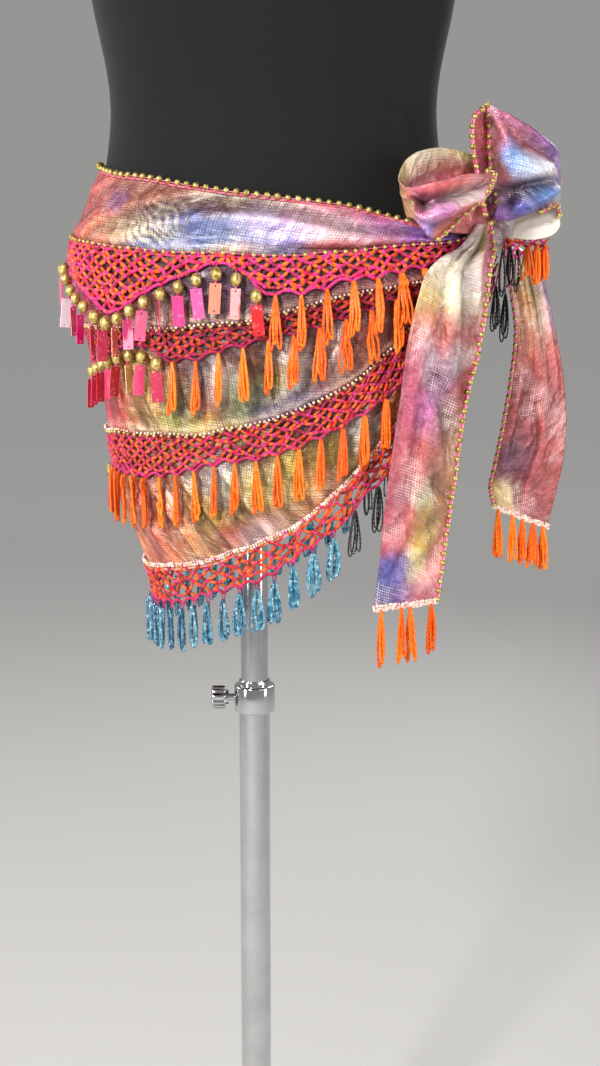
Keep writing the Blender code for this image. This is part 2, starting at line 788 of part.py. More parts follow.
def bow(model):
    knot(model)
    bow_loop(model, "bow_loop_left", LEFT_LOOP_ROWS)
    bow_loop(model, "bow_loop_right", RIGHT_LOOP_ROWS)
    front = tail(model, "tail_front", FRONT_TAIL_ROWS)
    back = tail(model, "tail_back", BACK_TAIL_ROWS)
    tail_fringe(model, "loops_tail_front", front, (0.14, 0.38, 0.62, 0.86), 44)
    tail_fringe(model, "loops_tail_back", back, (0.10, 0.30, 0.50, 0.70, 0.90), 42)


def build():
    model, cutters = start_scene()
    dress_form(model)
    neck_cap(model)
    form_socket(model)
    stand(model, cutters)
    clamp_knob(model)
    for side in ("front", "back"):
        cloth_panel(model, side)
        for tier in (1, 2, 3):
            net_band(model, side, tier)
        hem_net(model, side)
        panel_trims(model, side)
    bow(model)


build()
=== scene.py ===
"""Looks of the beaded hip scarf for belly dance, tied round a dress form on a telescopic stand.

Metres, +Z up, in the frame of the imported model.  A place on the scarf is a turn, in degrees from
the left hip towards the bow, and a drop, in millimetres below the waist, on its front or back.
A place on a bow loop or a tail is a share across it and a share along it.
"""

import math
import random

import bmesh
import bpy
import numpy as np
from mathutils import Matrix, Vector


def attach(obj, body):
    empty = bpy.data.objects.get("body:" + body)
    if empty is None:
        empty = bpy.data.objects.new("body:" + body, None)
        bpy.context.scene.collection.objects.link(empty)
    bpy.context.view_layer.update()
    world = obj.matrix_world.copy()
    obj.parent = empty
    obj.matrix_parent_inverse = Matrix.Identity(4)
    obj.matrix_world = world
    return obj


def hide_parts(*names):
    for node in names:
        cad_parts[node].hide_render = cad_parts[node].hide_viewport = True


MM = 0.001

# ---- driving sizes, as the solids have them --------------
WAIST_HEIGHT = 1.020
FORM_OFFSET_X = 0.017          # the form's axis lies this far beside the pole's
SECTION_POWER = 2.2            # 2 would make its level sections true ellipses
NET_GAP = 1.2 * MM             # from the cloth to the nets that lie on it
BACK_STRETCH = 1.075           # the back runs a little further round than the front
STAND_OFF = {"front": 0.012, "back": 0.020}    # of the cloth from the form, at the knot
GATHER_START = 112             # turn from which it stands off
LAST_TURN = 160
SEAM_ANGLE = 0.08              # degrees from the left hip to each panel's edge
HEM_LAP = 3.0                  # mm that the hem's net overlaps the hem
SIDES = ("front", "back")

BASE_RADIUS = 0.160
BASE_THICK = 0.007
HUB_RADIUS = 0.021
HUB_HEIGHT = 0.030
TUBE_RADIUS = 0.0125
TUBE_BORE = 0.0113
TUBE_TOP = 0.571
TUBE_BOTTOM = 0.0083
MAST_RADIUS = 0.0110
MAST_BORE = 0.0096
MAST_BOTTOM = 0.265
MAST_TOP = 0.7587
SOCKET_BOTTOM = 0.745
FORM_BOTTOM = 0.765
RUNNING_GAP = 0.3 * MM
KNOB_HEIGHT = 0.556
COLLAR_RADIUS = 0.0165
COLLAR_HALF = 0.011
CLOTH_THICK = 0.9 * MM

# ---- level sections of the dress form: mm above the waist, half width, depth front and back ----
FORM_COLUMNS = ("rise", "half", "front", "back")
FORM_ROWS = (
    (470, 52, 51, 51),
    (416, 62, 58, 60),
    (402, 84, 63, 66),
    (388, 120, 67, 72),
    (366, 156, 74, 79),
    (332, 168, 88, 87),
    (285, 159, 112, 95),
    (200, 155, 130, 98),
    (81, 137, 103, 90),
    (0, 124, 93, 87),
    (-41, 128, 100, 97),
    (-67, 139, 105, 105),
    (-94, 149.6, 108.6, 113.6),
    (-113, 151.6, 110.6, 117.6),
    (-144, 147.6, 111.6, 120.6),
    (-183, 137, 111, 118),
    (-222, 128, 108, 110),
    (-245, 116, 98, 100),
    (-255, 96, 82, 84),
)

# ---- level sections of the scarf's outer face: mm below the waist ----
CLOTH_COLUMNS = ("drop", "half", "front", "back")
CLOTH_ROWS = (
    (0, 125, 94, 89),
    (20, 128, 98, 94),
    (41, 132, 103.5, 100),
    (67, 142, 108, 108),
    (94, 153, 112, 117),
    (113, 155, 114, 121),
    (144, 151, 115, 124),
    (183, 140, 114, 121),
    (222, 132, 112, 114),
    (246, 129, 110, 110),
    (302, 116, 106, 102),
    (359, 98, 100, 95),
    (430, 85, 95, 88),
)

# ---- the scarf's lines, mm below the waist, by degrees from the left hip towards the bow ----
LINE_COLUMNS = ("turn", "top", "head_1", "edge_1", "head_2", "edge_2", "head_3", "edge_3", "hem", "foot")
LINE_ROWS = (
    (0, 42, 95, 108, 163, 193, 244, 268, 348, 375),
    (10, 44, 96, 113, 163, 192, 244, 269, 348, 375),
    (20, 47, 98, 128, 163, 189, 243, 272, 347, 374),
    (30, 50, 100, 139, 163, 183, 241, 273, 346, 373),
    (40, 53, 102, 151, 163, 177, 241, 273, 343, 371),
    (46, 54, 104, 147, 163, 174, 241, 272, 341, 370),
    (53, 56, 105, 138, 163, 175, 240, 270, 339, 366),
    (60, 59, 107, 130, 163, 185, 240, 267, 336, 361),
    (68, 62, 108, 122, 161, 184, 239, 262, 332, 357),
    (76, 65, 108, 115, 159, 177, 234, 258, 325, 352),
    (82, 67, 109, 120, 158, 174, 232, 257, 322, 349),
    (89, 69, 110, 136, 154, 169, 228, 253, 315, 343),
    (96, 71, 110, 137, 149, 165, 222, 249, 309, 333),
    (103, 73, 108, 134, 144, 160, 215, 242, 298, 324),
    (110, 75, 107, 128, 139, 154, 207, 235, 285, 313),
    (117, 79, 105, 126, 136, 148, 196, 226, 269, 299),
    (124, 84, 103, 122, 133, 141, 180, 215, 251, 282),
    (131, 89, 102, 119, 130, 138, 160, 202, 231, 268),
    (138, 90, 101, 115, 125, 134, 148, 182, 208, 246),
    (145, 87, 98, 110, 119, 128, 138, 163, 184, 222),
    (152, 82, 92, 103, 111, 119, 128, 144, 160, 194),
    (160, 74, 85, 94, 101, 108, 116, 127, 138, 166),
)

# ---- soft folds, as the solids have them: middle, slope, width, reach and height ----
FOLD_COLUMNS = ("turn", "drop", "slope", "width", "reach", "height")
FOLD_ROWS = (
    (62, 76, 0.30, 9, 52, 1.8),
    (104, 84, 0.22, 8, 44, 2.2),
    (128, 96, 0.10, 7, 30, 2.6),
    (34, 212, 0.55, 11, 34, 2.2),
    (70, 210, 0.50, 12, 30, 2.0),
    (98, 184, 0.75, 10, 26, 2.2),
    (26, 306, 0.50, 13, 26, 2.6),
    (58, 300, 0.60, 13, 24, 2.4),
    (88, 284, 0.80, 12, 22, 2.2),
)

# ---- fine creases: both ends, bow of the line, width and height (mm) ----
# On a panel x is a turn and y a drop, and on the bow they are the shares across and along.
CREASE_COLUMNS = ("x_1", "y_1", "x_2", "y_2", "bow", "width", "height")
PANEL_CREASES = (
    # waistband: one long valley with ridges over and under it, and the roll above the first net
    (42, 90, 80, 73, -4, 4.6, -2.6),
    (76, 73, 116, 91, -2, 4.2, -2.8),
    (24, 94, 68, 66, -5, 4.0, 1.9),
    (82, 64, 108, 80, -1, 3.4, 1.5),
    (54, 92, 84, 86, -3, 5.0, 1.6),
    (88, 97, 134, 98, 2, 5.0, 2.0),
    (92, 105, 142, 102, 1, 2.6, -1.8),
    (102, 84, 142, 93, -1, 3.0, 1.7),
    (110, 91, 148, 95, 0, 2.6, -1.7),
    (118, 86, 154, 86, 1, 2.6, 1.4),
    (128, 93, 159, 90, 0, 2.0, 1.3),
    (132, 97, 159, 79, 1, 2.0, -1.2),
    (10, 60, 34, 54, 2, 4.0, 1.1),
    (6, 84, 30, 70, 3, 4.0, -1.2),
    # between the first and the second net
    (88, 139, 84, 158, 0, 4.0, 1.3),
    (71, 124, 67, 158, 1, 4.0, 1.4),
    (56, 140, 52, 161, 0, 4.5, -1.2),
    (26, 142, 22, 160, 0, 4.0, 1.2),
    (112, 128, 104, 142, 0, 3.4, 1.2),
    # between the second and the third net
    (96, 166, 92, 216, 1, 4.4, 1.9),
    (88, 170, 85, 222, -1, 4.0, -1.6),
    (113, 152, 105, 200, 1, 4.2, 2.0),
    (104, 164, 99, 208, 0, 3.6, -1.6),
    (121, 144, 113, 184, 0, 3.4, 1.5),
    (75, 182, 70, 232, 1, 5.0, 1.8),
    (64, 188, 60, 234, 0, 4.0, -1.5),
    (44, 182, 55, 238, 1, 3.0, 2.2),
    (37, 186, 47, 240, 1, 3.4, -1.9),
    (30, 188, 38, 240, 1, 3.2, 1.6),
    (14, 196, 22, 240, 1, 4.0, 1.4),
    # between the third net and the hem: long slanting pulls
    (43, 274, 64, 340, -3, 3.0, 3.4),
    (50, 274, 71, 337, -2, 3.0, -2.6),
    (57, 270, 79, 331, -2, 2.6, 3.6),
    (64, 270, 86, 326, -1, 3.0, -1.7),
    (73, 262, 91, 316, 0, 3.0, 2.8),
    (30, 276, 50, 346, -2, 3.4, 3.0),
    (21, 280, 37, 347, -2, 3.6, -1.7),
    (10, 276, 25, 347, -1, 4.0, 1.8),
    (84, 258, 99, 304, 1, 3.0, -1.5),
    (94, 252, 107, 288, 1, 3.6, 1.9),
    (115, 224, 110, 276, 1, 3.4, -1.5),
    (122, 208, 118, 256, 1, 3.4, 1.7),
    (130, 200, 126, 236, 0, 3.0, 1.4),
    # gathers that draw in to the knot
    (118, 132, 159, 104, 3, 2.8, 1.6),
    (122, 152, 159, 111, 4, 2.8, -1.6),
    (124, 176, 159, 118, 5, 3.0, 1.8),
    (128, 202, 159, 124, 5, 3.0, -1.6),
    (132, 226, 159, 131, 5, 3.0, 1.7),
)
CREASE_DEPTH = 1.65            # how much deeper creases are pressed than the table says
CREASE_ECHO = 0.45             # depth of the hollow that follows each crease, by its height
CREASE_ECHO_AT = 1.7           # and how far off it lies, by the crease's width
DEGREE_LENGTH = 2.3            # mm of cloth in a degree, for the slant of creases and dye
LOWEST_LIFT = -1.2             # mm; the cloth never sinks further, so it stays clear of the form
BACK_SHIFT = 5.0               # mm that the back's creases lie nearer the left hip than the front's

EYE = {"turn": 57.0, "drop": 89.0, "reach": 17.0, "pitch": 4.6, "long": 1.25}   # ring creases, mm

# ---- dyes of the cloth -----------------------------------
DYES = {
    "rose": "d05a76", "brick": "b8524e", "crimson": "b02c4c", "coral": "ec845e", "salmon": "e0746c",
    "peach": "eab082", "sand": "d2a474", "taupe": "a86e54", "umber": "74422c", "plum": "563a5e",
    "straw": "e6d688", "cream": "f0e6c8", "ivory": "f6f0ea", "silver": "d6e2ee", "lemon": "e6e06a",
    "olive": "aa9c30", "moss": "7c9c58", "sky": "4a9cdc", "azure": "1f6cc0", "cobalt": "3560bc",
    "ink": "3a386c", "lilac": "b08ae0", "violet": "7c58b2", "orchid": "d888c6", "pink": "ee9cb2",
}
GROUND_DYE = "b66c62"
# painted highlight of the bulge over each seam
SEAM_HIGHLIGHT = "f0dccb"
NET_SHADE = "4c1c2a"             # painted shade: the cloth is painted darker under the nets, as the shadow they cast

# where each dye lies on a panel: middle, and reach in degrees and mm; some rows are painted highlights and
# painted shade
BLOT_COLUMNS = ("turn", "drop", "reach_turn", "reach_drop", "dye")
BLOT_ROWS = (
    (4, 76, 16, 44, "salmon"),
    (24, 74, 11, 26, "salmon"),
    (46, 62, 12, 12, "taupe"),
    (40, 72, 3, 6, "violet"),
    (38, 92, 9, 9, "sand"),
    # painted highlight on the waistband
    (56, 90, 8, 7, "cream"),
    (70, 91, 8, 9, "azure"),
    (59, 102, 9, 4, "azure"),
    # painted shade in the waistband's long valley
    (74, 75, 16, 6, "umber"),
    (82, 90, 8, 8, "silver"),
    (91, 89, 7, 8, "lilac"),
    (88, 65, 13, 6, "cream"),
    (72, 105, 12, 4, "cream"),
    # painted highlight: the two ivory blots stand in for glare on the right of the waistband
    (100, 86, 11, 9, "ivory"),
    (112, 96, 8, 4, "ivory"),
    (92, 103, 5, 5, "sky"),
    (106, 79, 10, 6, "pink"),
    (114, 90, 10, 8, "pink"),
    # painted shadow under the roll above the first net
    (112, 103, 24, 4, "brick"),
    (127, 90, 10, 9, "lilac"),
    (142, 92, 10, 12, "violet"),
    (96, 142, 9, 10, "umber"),
    (80, 132, 12, 13, "plum"),
    (66, 150, 8, 10, "umber"),
    (52, 152, 9, 10, "taupe"),
    (20, 138, 20, 18, "rose"),
    # painted shade: crimson and brick darken the strip below the first net's right part
    (112, 132, 9, 10, "crimson"),
    (124, 126, 8, 12, "brick"),
    (45, 210, 6, 24, "olive"),
    (53, 214, 6, 20, "sand"),
    (60, 224, 5, 13, "moss"),
    (67, 233, 8, 8, "lemon"),
    # painted highlight on a vertical ridge
    (73, 198, 5, 12, "ivory"),
    (68, 194, 3, 16, "umber"),
    (71, 222, 6, 11, "brick"),
    (79, 214, 6, 15, "moss"),
    (88, 219, 5, 10, "ink"),
    (97, 216, 6, 8, "ink"),
    (90, 200, 4, 12, "olive"),
    # painted highlight on a vertical ridge
    (95, 188, 4, 17, "ivory"),
    (102, 180, 5, 14, "umber"),
    (108, 176, 3, 14, "ivory"),
    (113, 184, 6, 12, "taupe"),
    (84, 182, 7, 11, "umber"),
    (30, 214, 10, 24, "salmon"),
    (10, 214, 14, 28, "rose"),
    (64, 290, 4, 15, "olive"),
    (69, 272, 6, 9, "ivory"),
    (76, 276, 5, 11, "silver"),
    (82, 280, 7, 12, "lemon"),
    (89, 272, 5, 10, "cream"),
    (96, 268, 5, 12, "lemon"),
    (74, 296, 6, 7, "olive"),
    (80, 304, 8, 13, "brick"),
    (52, 300, 9, 24, "peach"),
    (40, 318, 9, 24, "salmon"),
    (46, 300, 4, 20, "umber"),
    (60, 330, 12, 12, "sand"),
    (89, 314, 8, 11, "ivory"),
    (98, 296, 7, 11, "sand"),
    (109, 278, 8, 12, "peach"),
    (114, 250, 8, 13, "olive"),
    (119, 236, 4, 11, "silver"),
    (123, 226, 3, 12, "umber"),
    (127, 222, 8, 13, "sand"),
    (24, 312, 10, 28, "peach"),
    (12, 316, 6, 28, "taupe"),
    (6, 300, 10, 28, "rose"),
    (140, 170, 12, 24, "taupe"),
)

# ---- hanging trims, as the solids have them --------------
TRIM_COLUMNS = ("name", "line", "first", "last", "count", "length", "lean", "kind", "finish")
TRIM_ROWS = (
    ("drops_1", "edge_1", 10, 86, 16, 38, 5.8, "drop", "paillettes"),
    ("loops_1", "edge_1", 91, 138, 8, 39, 5.8, "loop", "orange_beads"),
    ("drops_2", "edge_2", 21, 56, 8, 37, 2.9, "drop", "paillettes"),
    ("loops_2", "edge_2", 61, 138, 12, 38, 2.9, "loop", "orange_beads"),
    ("drops_3", "edge_3", 2.5, 12.5, 3, 36, 0.0, "drop", "paillettes"),
    ("loops_3", "edge_3", 17, 139, 19, 38, 0.0, "loop", "orange_beads"),
    ("loops_hem_blue", "foot", 5, 112, 16, 36, 0.0, "loop", "blue_beads"),
    ("loops_hem_black", "foot", 119, 141, 4, 34, 0.0, "loop", "black_beads"),
)
TRIM_OUT = 2.9 * MM
EDGE_ARCHES = {"loop": 3.6, "drop": 1.2}    # mm that a net's edge rises between its trims

# ---- nets: width and half height of a mesh and radius of its strands (mm), and their colours ----
NET_COLUMNS = ("name", "head", "edge", "pitch", "rise", "radius", "thread", "bead", "knot")
NET_ROWS = (
    ("net_1", "head_1", "edge_1", 11.6, 3.5, 1.34, "da2e76", "f47420", "e0409a"),
    ("net_2", "head_2", "edge_2", 10.8, 3.3, 1.14, "a01848", "dc521c", "c02c70"),
    ("net_3", "head_3", "edge_3", 11.2, 3.4, 1.14, "c4245e", "ee6a22", "d63a8a"),
    ("net_hem", "hem", "foot", 16.2, 5.1, 1.28, "c0302c", "ee6628", "da3c8e"),
)

# ---- bow: x and y from the pole axis and drop below the waist, mm ----
KNOT_CENTRE = (183.0, -12.4, 90.0)
KNOT_HALF = (15.2, 30.0, 21.5)
LOOP_COLUMNS = ("step", "x_top", "y_top", "drop_top", "x_low", "y_low", "drop_low", "belly", "sway")
LEFT_LOOP_ROWS = (
    (0, 178, -42.1, 50, 181, -42.1, 97, 0, 0),
    (1, 168, -59, 39, 172, -58, 93, 1, 0),
    (2, 155, -78, 36, 158, -77, 94, 2, 0),
    (3, 138, -95, 34, 143, -92, 93, 3, 0),
    (4, 121, -110, 37, 128, -107, 92, 3, 0),
    (5, 109, -120, 46, 117, -116, 88, 2, 0),
    (6, 104.5, -130, 57, 111, -125, 83, 0, 0),
    (7, 109, -138, 63, 115, -136, 84, -3, 0),
    (8, 122, -139, 61, 121, -138, 91, -6, 0),
    (9, 141, -130, 57, 125, -137, 96, -8, 3),
    (10, 158, -113, 54, 129, -135, 98, -8, 7),
    (11, 171, -92, 50, 133, -131, 98, -6, 10),
)
RIGHT_LOOP_ROWS = (
    (-1, 167, -84, 7, 172, -72, 80, -2, -8),
    (0, 171, -68, 2, 180, -48, 84, 0, 0),
    (1, 182, -71, 6, 188, -60, 84, -6, 0),
    (2, 197, -69, 13, 200, -62, 81, -9, 0),
    (3, 214, -62, 24, 214, -56, 78, -8, 0),
    (4, 228, -49, 34, 228, -46, 72, -3, 0),
    (5, 232, -32, 42, 232, -38, 85, 0, 0),
    (6, 224, -22, 50, 225, -46, 95, 2, 0),
    (7, 212, -19, 60, 209, -51, 98, 2, 0),
    (8, 203, -20, 72, 194, -51, 97, 0, 0),
)
TAIL_COLUMNS = ("drop", "x_left", "y_left", "x_right", "y_right", "fold", "slant")
FRONT_TAIL_ROWS = (
    (86, 167, -73, 177, -62, 0, 0),
    (96, 159, -82, 178, -66, 2, 0),
    (104, 151, -90, 179, -70, 4, 0),
    (110, 138, -104, 178, -76, 5, 0),
    (123, 126, -111, 175, -82, 7, 0),
    (142, 120, -115, 173, -84, 8, 0),
    (177, 113, -115, 168, -84, 8, 0),
    (213, 109, -113, 160, -82, 7, 0),
    (257, 103, -110, 154, -80, 7, 0),
    (301, 98, -107, 149, -78, 6, 0),
    (339, 95, -105, 144, -77, 4, 0),
    (366, 92, -103, 141, -76, 2, 0),
)
BACK_TAIL_ROWS = (
    (99, 198.6, -18, 197, 4, 0, 0),
    (106, 197, -14, 213, 8, 2, 0),
    (118, 197, -12, 225, 8, 5, 0),
    (136, 200, -12, 230, 5, 6, 0),
    (170, 204, -13, 238, 4, 8, 0),
    (205, 201, -13, 245, 3, 8, 0),
    (240, 196, -12, 248, 2, 7, 0),
    (278, 190, -11, 245, 1, 6, 5),
    (300, 187, -10, 240, 1, 4, 11),
    (322, 190, -9, 235, 0, 2, 18),
)

# dye of the bow's cloth, by share across and share along; some patches are painted highlights and painted
# shade
PATCH_COLUMNS = ("across", "along", "reach_across", "reach_along", "dye")
FRONT_TAIL_DYE = (
    (0.60, 0.06, 0.12, 0.04, "olive"),
    (0.30, 0.07, 0.20, 0.04, "ivory"),
    (0.88, 0.06, 0.12, 0.06, "pink"),
    (0.30, 0.13, 0.30, 0.04, "cream"),
    (0.62, 0.14, 0.20, 0.04, "ivory"),
    (0.26, 0.19, 0.24, 0.04, "straw"),
    (0.70, 0.21, 0.20, 0.04, "cream"),
    (0.20, 0.27, 0.22, 0.04, "coral"),
    (0.55, 0.28, 0.22, 0.04, "brick"),
    (0.88, 0.28, 0.12, 0.04, "brick"),
    # painted highlight along a crease
    (0.74, 0.335, 0.16, 0.03, "ivory"),
    (0.20, 0.37, 0.20, 0.06, "rose"),
    # painted highlight
    (0.27, 0.32, 0.10, 0.05, "silver"),
    (0.54, 0.36, 0.17, 0.045, "plum"),
    (0.86, 0.42, 0.12, 0.05, "brick"),
    (0.44, 0.46, 0.18, 0.06, "orchid"),
    (0.12, 0.52, 0.18, 0.08, "rose"),
    (0.74, 0.52, 0.16, 0.05, "taupe"),
    (0.34, 0.61, 0.22, 0.05, "salmon"),
    (0.62, 0.64, 0.14, 0.05, "taupe"),
    (0.86, 0.60, 0.12, 0.05, "sand"),
    (0.16, 0.72, 0.20, 0.06, "rose"),
    (0.50, 0.72, 0.12, 0.04, "moss"),
    (0.80, 0.71, 0.16, 0.05, "sand"),
    (0.34, 0.80, 0.22, 0.05, "salmon"),
    (0.66, 0.80, 0.16, 0.05, "olive"),
    (0.58, 0.87, 0.12, 0.05, "lemon"),
    (0.84, 0.88, 0.12, 0.06, "coral"),
    (0.16, 0.92, 0.20, 0.05, "cobalt"),
    (0.36, 0.95, 0.16, 0.04, "violet"),
    (0.70, 0.96, 0.18, 0.04, "pink"),
)
BACK_TAIL_DYE = (
    (0.30, 0.06, 0.40, 0.06, "ivory"),
    (0.60, 0.18, 0.25, 0.10, "straw"),
    (0.90, 0.16, 0.12, 0.10, "lilac"),
    (0.35, 0.28, 0.25, 0.08, "peach"),
    (0.70, 0.38, 0.30, 0.10, "salmon"),
    (0.26, 0.48, 0.20, 0.12, "brick"),
    (0.62, 0.60, 0.25, 0.10, "brick"),
    (0.32, 0.78, 0.18, 0.06, "plum"),
    (0.60, 0.84, 0.30, 0.08, "brick"),
    (0.20, 0.93, 0.14, 0.05, "straw"),
    (0.86, 0.74, 0.16, 0.12, "salmon"),
)
LEFT_LOOP_DYE = (
    (0.02, 0.36, 0.08, 0.14, "cream"),
    (0.03, 0.18, 0.07, 0.08, "straw"),
    (0.10, 0.48, 0.16, 0.05, "straw"),
    (0.22, 0.34, 0.07, 0.10, "sand"),
    (0.36, 0.34, 0.10, 0.12, "rose"),
    (0.24, 0.16, 0.09, 0.08, "salmon"),
    # painted shade: crimson and brick darken the inside of the loop
    (0.42, 0.16, 0.14, 0.10, "crimson"),
    (0.52, 0.40, 0.14, 0.10, "brick"),
    (0.75, 0.30, 0.20, 0.20, "salmon"),
    (0.52, 0.52, 0.26, 0.05, "straw"),
    (0.30, 0.60, 0.24, 0.04, "peach"),
    (0.66, 0.61, 0.24, 0.04, "straw"),
    (0.08, 0.80, 0.10, 0.16, "salmon"),
    # painted shade in the hollow pressed into the front wall
    (0.38, 0.722, 0.17, 0.034, "crimson"),
    (0.41, 0.724, 0.12, 0.024, "plum"),
    (0.14, 0.70, 0.08, 0.03, "pink"),
    # painted highlight: the orchid and ivory streak across the front wall
    (0.55, 0.80, 0.12, 0.05, "orchid"),
    (0.32, 0.90, 0.10, 0.06, "ivory"),
    (0.22, 0.97, 0.08, 0.03, "pink"),
    (0.58, 0.95, 0.14, 0.05, "salmon"),
    (0.88, 0.78, 0.12, 0.07, "lilac"),
    (0.84, 0.93, 0.10, 0.05, "coral"),
)
RIGHT_LOOP_DYE = (
    (0.45, 0.03, 0.60, 0.05, "rose"),
    (0.04, 0.22, 0.06, 0.10, "orchid"),
    (0.16, 0.04, 0.14, 0.05, "coral"),
    # painted highlight along the ridge by the fold
    (0.12, 0.17, 0.08, 0.03, "ivory"),
    (0.27, 0.22, 0.08, 0.03, "pink"),
    (0.12, 0.30, 0.14, 0.10, "salmon"),
    (0.05, 0.46, 0.10, 0.10, "violet"),
    (0.38, 0.28, 0.12, 0.05, "sky"),
    # painted highlight on the upper lobe's bulge
    (0.44, 0.37, 0.12, 0.06, "silver"),
    (0.50, 0.47, 0.09, 0.05, "ivory"),
    (0.62, 0.18, 0.14, 0.06, "taupe"),
    (0.80, 0.13, 0.10, 0.06, "violet"),
    # painted shade in the deep fold valley
    (0.74, 0.31, 0.08, 0.10, "ink"),
    (0.58, 0.46, 0.06, 0.06, "ink"),
    (0.88, 0.34, 0.08, 0.08, "cobalt"),
    (0.76, 0.47, 0.08, 0.06, "sky"),
    (0.93, 0.18, 0.08, 0.06, "lilac"),
    (0.35, 0.56, 0.20, 0.04, "lilac"),
    (0.75, 0.56, 0.20, 0.04, "silver"),
    (0.50, 0.84, 0.50, 0.14, "cream"),
)
KNOT_DYE = (
    (0.30, 0.40, 0.20, 0.20, "rose"),
    (0.60, 0.60, 0.20, 0.20, "plum"),
    (0.80, 0.30, 0.20, 0.20, "umber"),
    (0.64, 0.88, 0.14, 0.12, "ivory"),
    (0.78, 0.80, 0.12, 0.12, "ivory"),
)

# creases of the bow's pieces, with their bow and width in shares too
FRONT_TAIL_CREASES = (
    (0.34, 0.03, 0.60, 0.31, 0.02, 0.045, 3.0),
    (0.62, 0.04, 0.88, 0.21, -0.02, 0.040, 3.2),
    (0.50, 0.05, 0.76, 0.27, 0.00, 0.040, -3.0),
    (0.40, 0.33, 0.90, 0.48, -0.03, 0.045, 3.4),
    (0.36, 0.39, 0.78, 0.53, -0.02, 0.045, -3.0),
    (0.22, 0.21, 0.18, 0.63, 0.02, 0.080, 2.2),
    (0.48, 0.49, 0.44, 0.79, 0.02, 0.070, 2.4),
    (0.70, 0.61, 0.98, 0.66, 0.00, 0.035, 2.8),
    (0.64, 0.67, 0.96, 0.71, 0.00, 0.030, -2.4),
    (0.30, 0.76, 0.94, 0.70, 0.01, 0.040, 2.4),
    (0.34, 0.87, 0.92, 0.79, 0.01, 0.030, 2.8),
    (0.06, 0.85, 0.40, 0.81, 0.01, 0.030, 2.0),
    (0.10, 0.87, 0.44, 0.94, 0.01, 0.040, 2.4),
    (0.66, 0.97, 0.98, 0.92, 0.00, 0.030, 2.4),
)
BACK_TAIL_CREASES = (
    (0.20, 0.02, 0.34, 0.40, 0.02, 0.060, 3.0),
    (0.56, 0.02, 0.60, 0.44, 0.02, 0.070, -2.8),
    (0.80, 0.04, 0.86, 0.50, 0.02, 0.060, 3.0),
    (0.36, 0.44, 0.22, 0.80, 0.02, 0.070, -2.4),
    (0.50, 0.54, 0.64, 0.66, 0.02, 0.045, 2.6),
    (0.66, 0.66, 0.52, 0.96, 0.02, 0.060, 2.6),
    (0.34, 0.84, 0.46, 0.98, 0.00, 0.060, -2.6),
)
LEFT_LOOP_CREASES = (
    (0.20, 0.02, 0.42, 0.40, 0.03, 0.060, 2.2),
    (0.55, 0.02, 0.60, 0.44, 0.03, 0.060, -2.0),
    (0.22, 0.64, 0.02, 0.92, 0.02, 0.060, 3.6),
    (0.48, 0.67, 0.10, 1.00, 0.02, 0.065, -5.6),
    (0.72, 0.72, 0.30, 1.02, 0.02, 0.075, 5.4),
    (0.90, 0.80, 0.62, 1.00, 0.00, 0.060, -2.4),
)
# hollows pressed into the bow: middle and reach in shares, and depth (mm)
DENT_COLUMNS = ("across", "along", "reach_across", "reach_along", "depth")
LEFT_LOOP_DENTS = (
    (0.39, 0.722, 0.20, 0.036, 9.0),
)
RIGHT_LOOP_CREASES = (
    (0.06, 0.17, 0.36, 0.26, 0.02, 0.040, 3.2),
    (0.82, 0.09, 0.50, 0.54, -0.065, 0.070, -6.5),
    (0.97, 0.10, 0.66, 0.57, -0.060, 0.075, 4.5),
    (0.50, 0.20, 0.40, 0.52, 0.00, 0.150, 5.0),
    (0.16, 0.34, 0.20, 0.54, 0.00, 0.070, -2.6),
    (0.30, 0.64, 0.40, 0.94, 0.02, 0.070, 2.0),
    (0.72, 0.66, 0.62, 0.96, 0.02, 0.070, -1.8),
)

# colours of the spangles in the order they hang, from the left hip
SPANGLE_COLOURS = {
    "drops_1": (
        "e86a90", "d04470", "f2ecf2", "e25a8c", "ea1084", "e85874", "ca2e56", "ee7a6c",
        "e64c88", "da5c86", "e82e6c", "e8287c", "dc5c9e", "ee8a70", "ee6a68", "d81c24",
    ),
    "drops_2": ("c81c40", "e02858", "cc2440", "e83064", "b01428", "f8cc88", "f24c80", "d4305c"),
    "drops_3": ("d8285c", "e03c70", "c01c38"),
}


# ---- tables ----------------------------------------------
class Table:
    """Rows with named columns.  A column is read smoothly between rows, by the first column."""

    def __init__(self, columns, rows):
        self.keys, *values = np.array(sorted(rows), float).T
        self.values = {name: (column, self.slopes(column)) for name, column in zip(columns[1:], values)}

    def slopes(self, values):
        """Slopes at the rows that never overshoot them."""
        rise = np.diff(values) / np.diff(self.keys)
        slopes = np.zeros_like(values)
        slopes[0], slopes[-1] = rise[0], rise[-1]
        before, after = rise[:-1], rise[1:]
        together = before * after > 0
        slopes[1:-1][together] = 2 * before[together] * after[together] / (before + after)[together]
        return slopes

    def at(self, key, name):
        """A column's values at any keys, held level beyond the first row and the last."""
        values, slopes = self.values[name]
        key = np.clip(np.asarray(key, float), self.keys[0], self.keys[-1])
        low = np.clip(np.searchsorted(self.keys, key, side="right") - 1, 0, len(self.keys) - 2)
        span = self.keys[low + 1] - self.keys[low]
        share = (key - self.keys[low]) / span
        rest = 1.0 - share
        return (
            values[low] * (1 + 2 * share) * rest**2
            + slopes[low] * span * share * rest**2
            + values[low + 1] * share**2 * (3 - 2 * share)
            - slopes[low + 1] * span * share**2 * rest
        )


FORM = Table(FORM_COLUMNS, FORM_ROWS)
CLOTH = Table(CLOTH_COLUMNS, CLOTH_ROWS)
LINES = Table(LINE_COLUMNS, LINE_ROWS)


def records(columns, rows):
    """The rows of a table with their columns as names."""
    return [dict(zip(columns, row)) for row in rows]


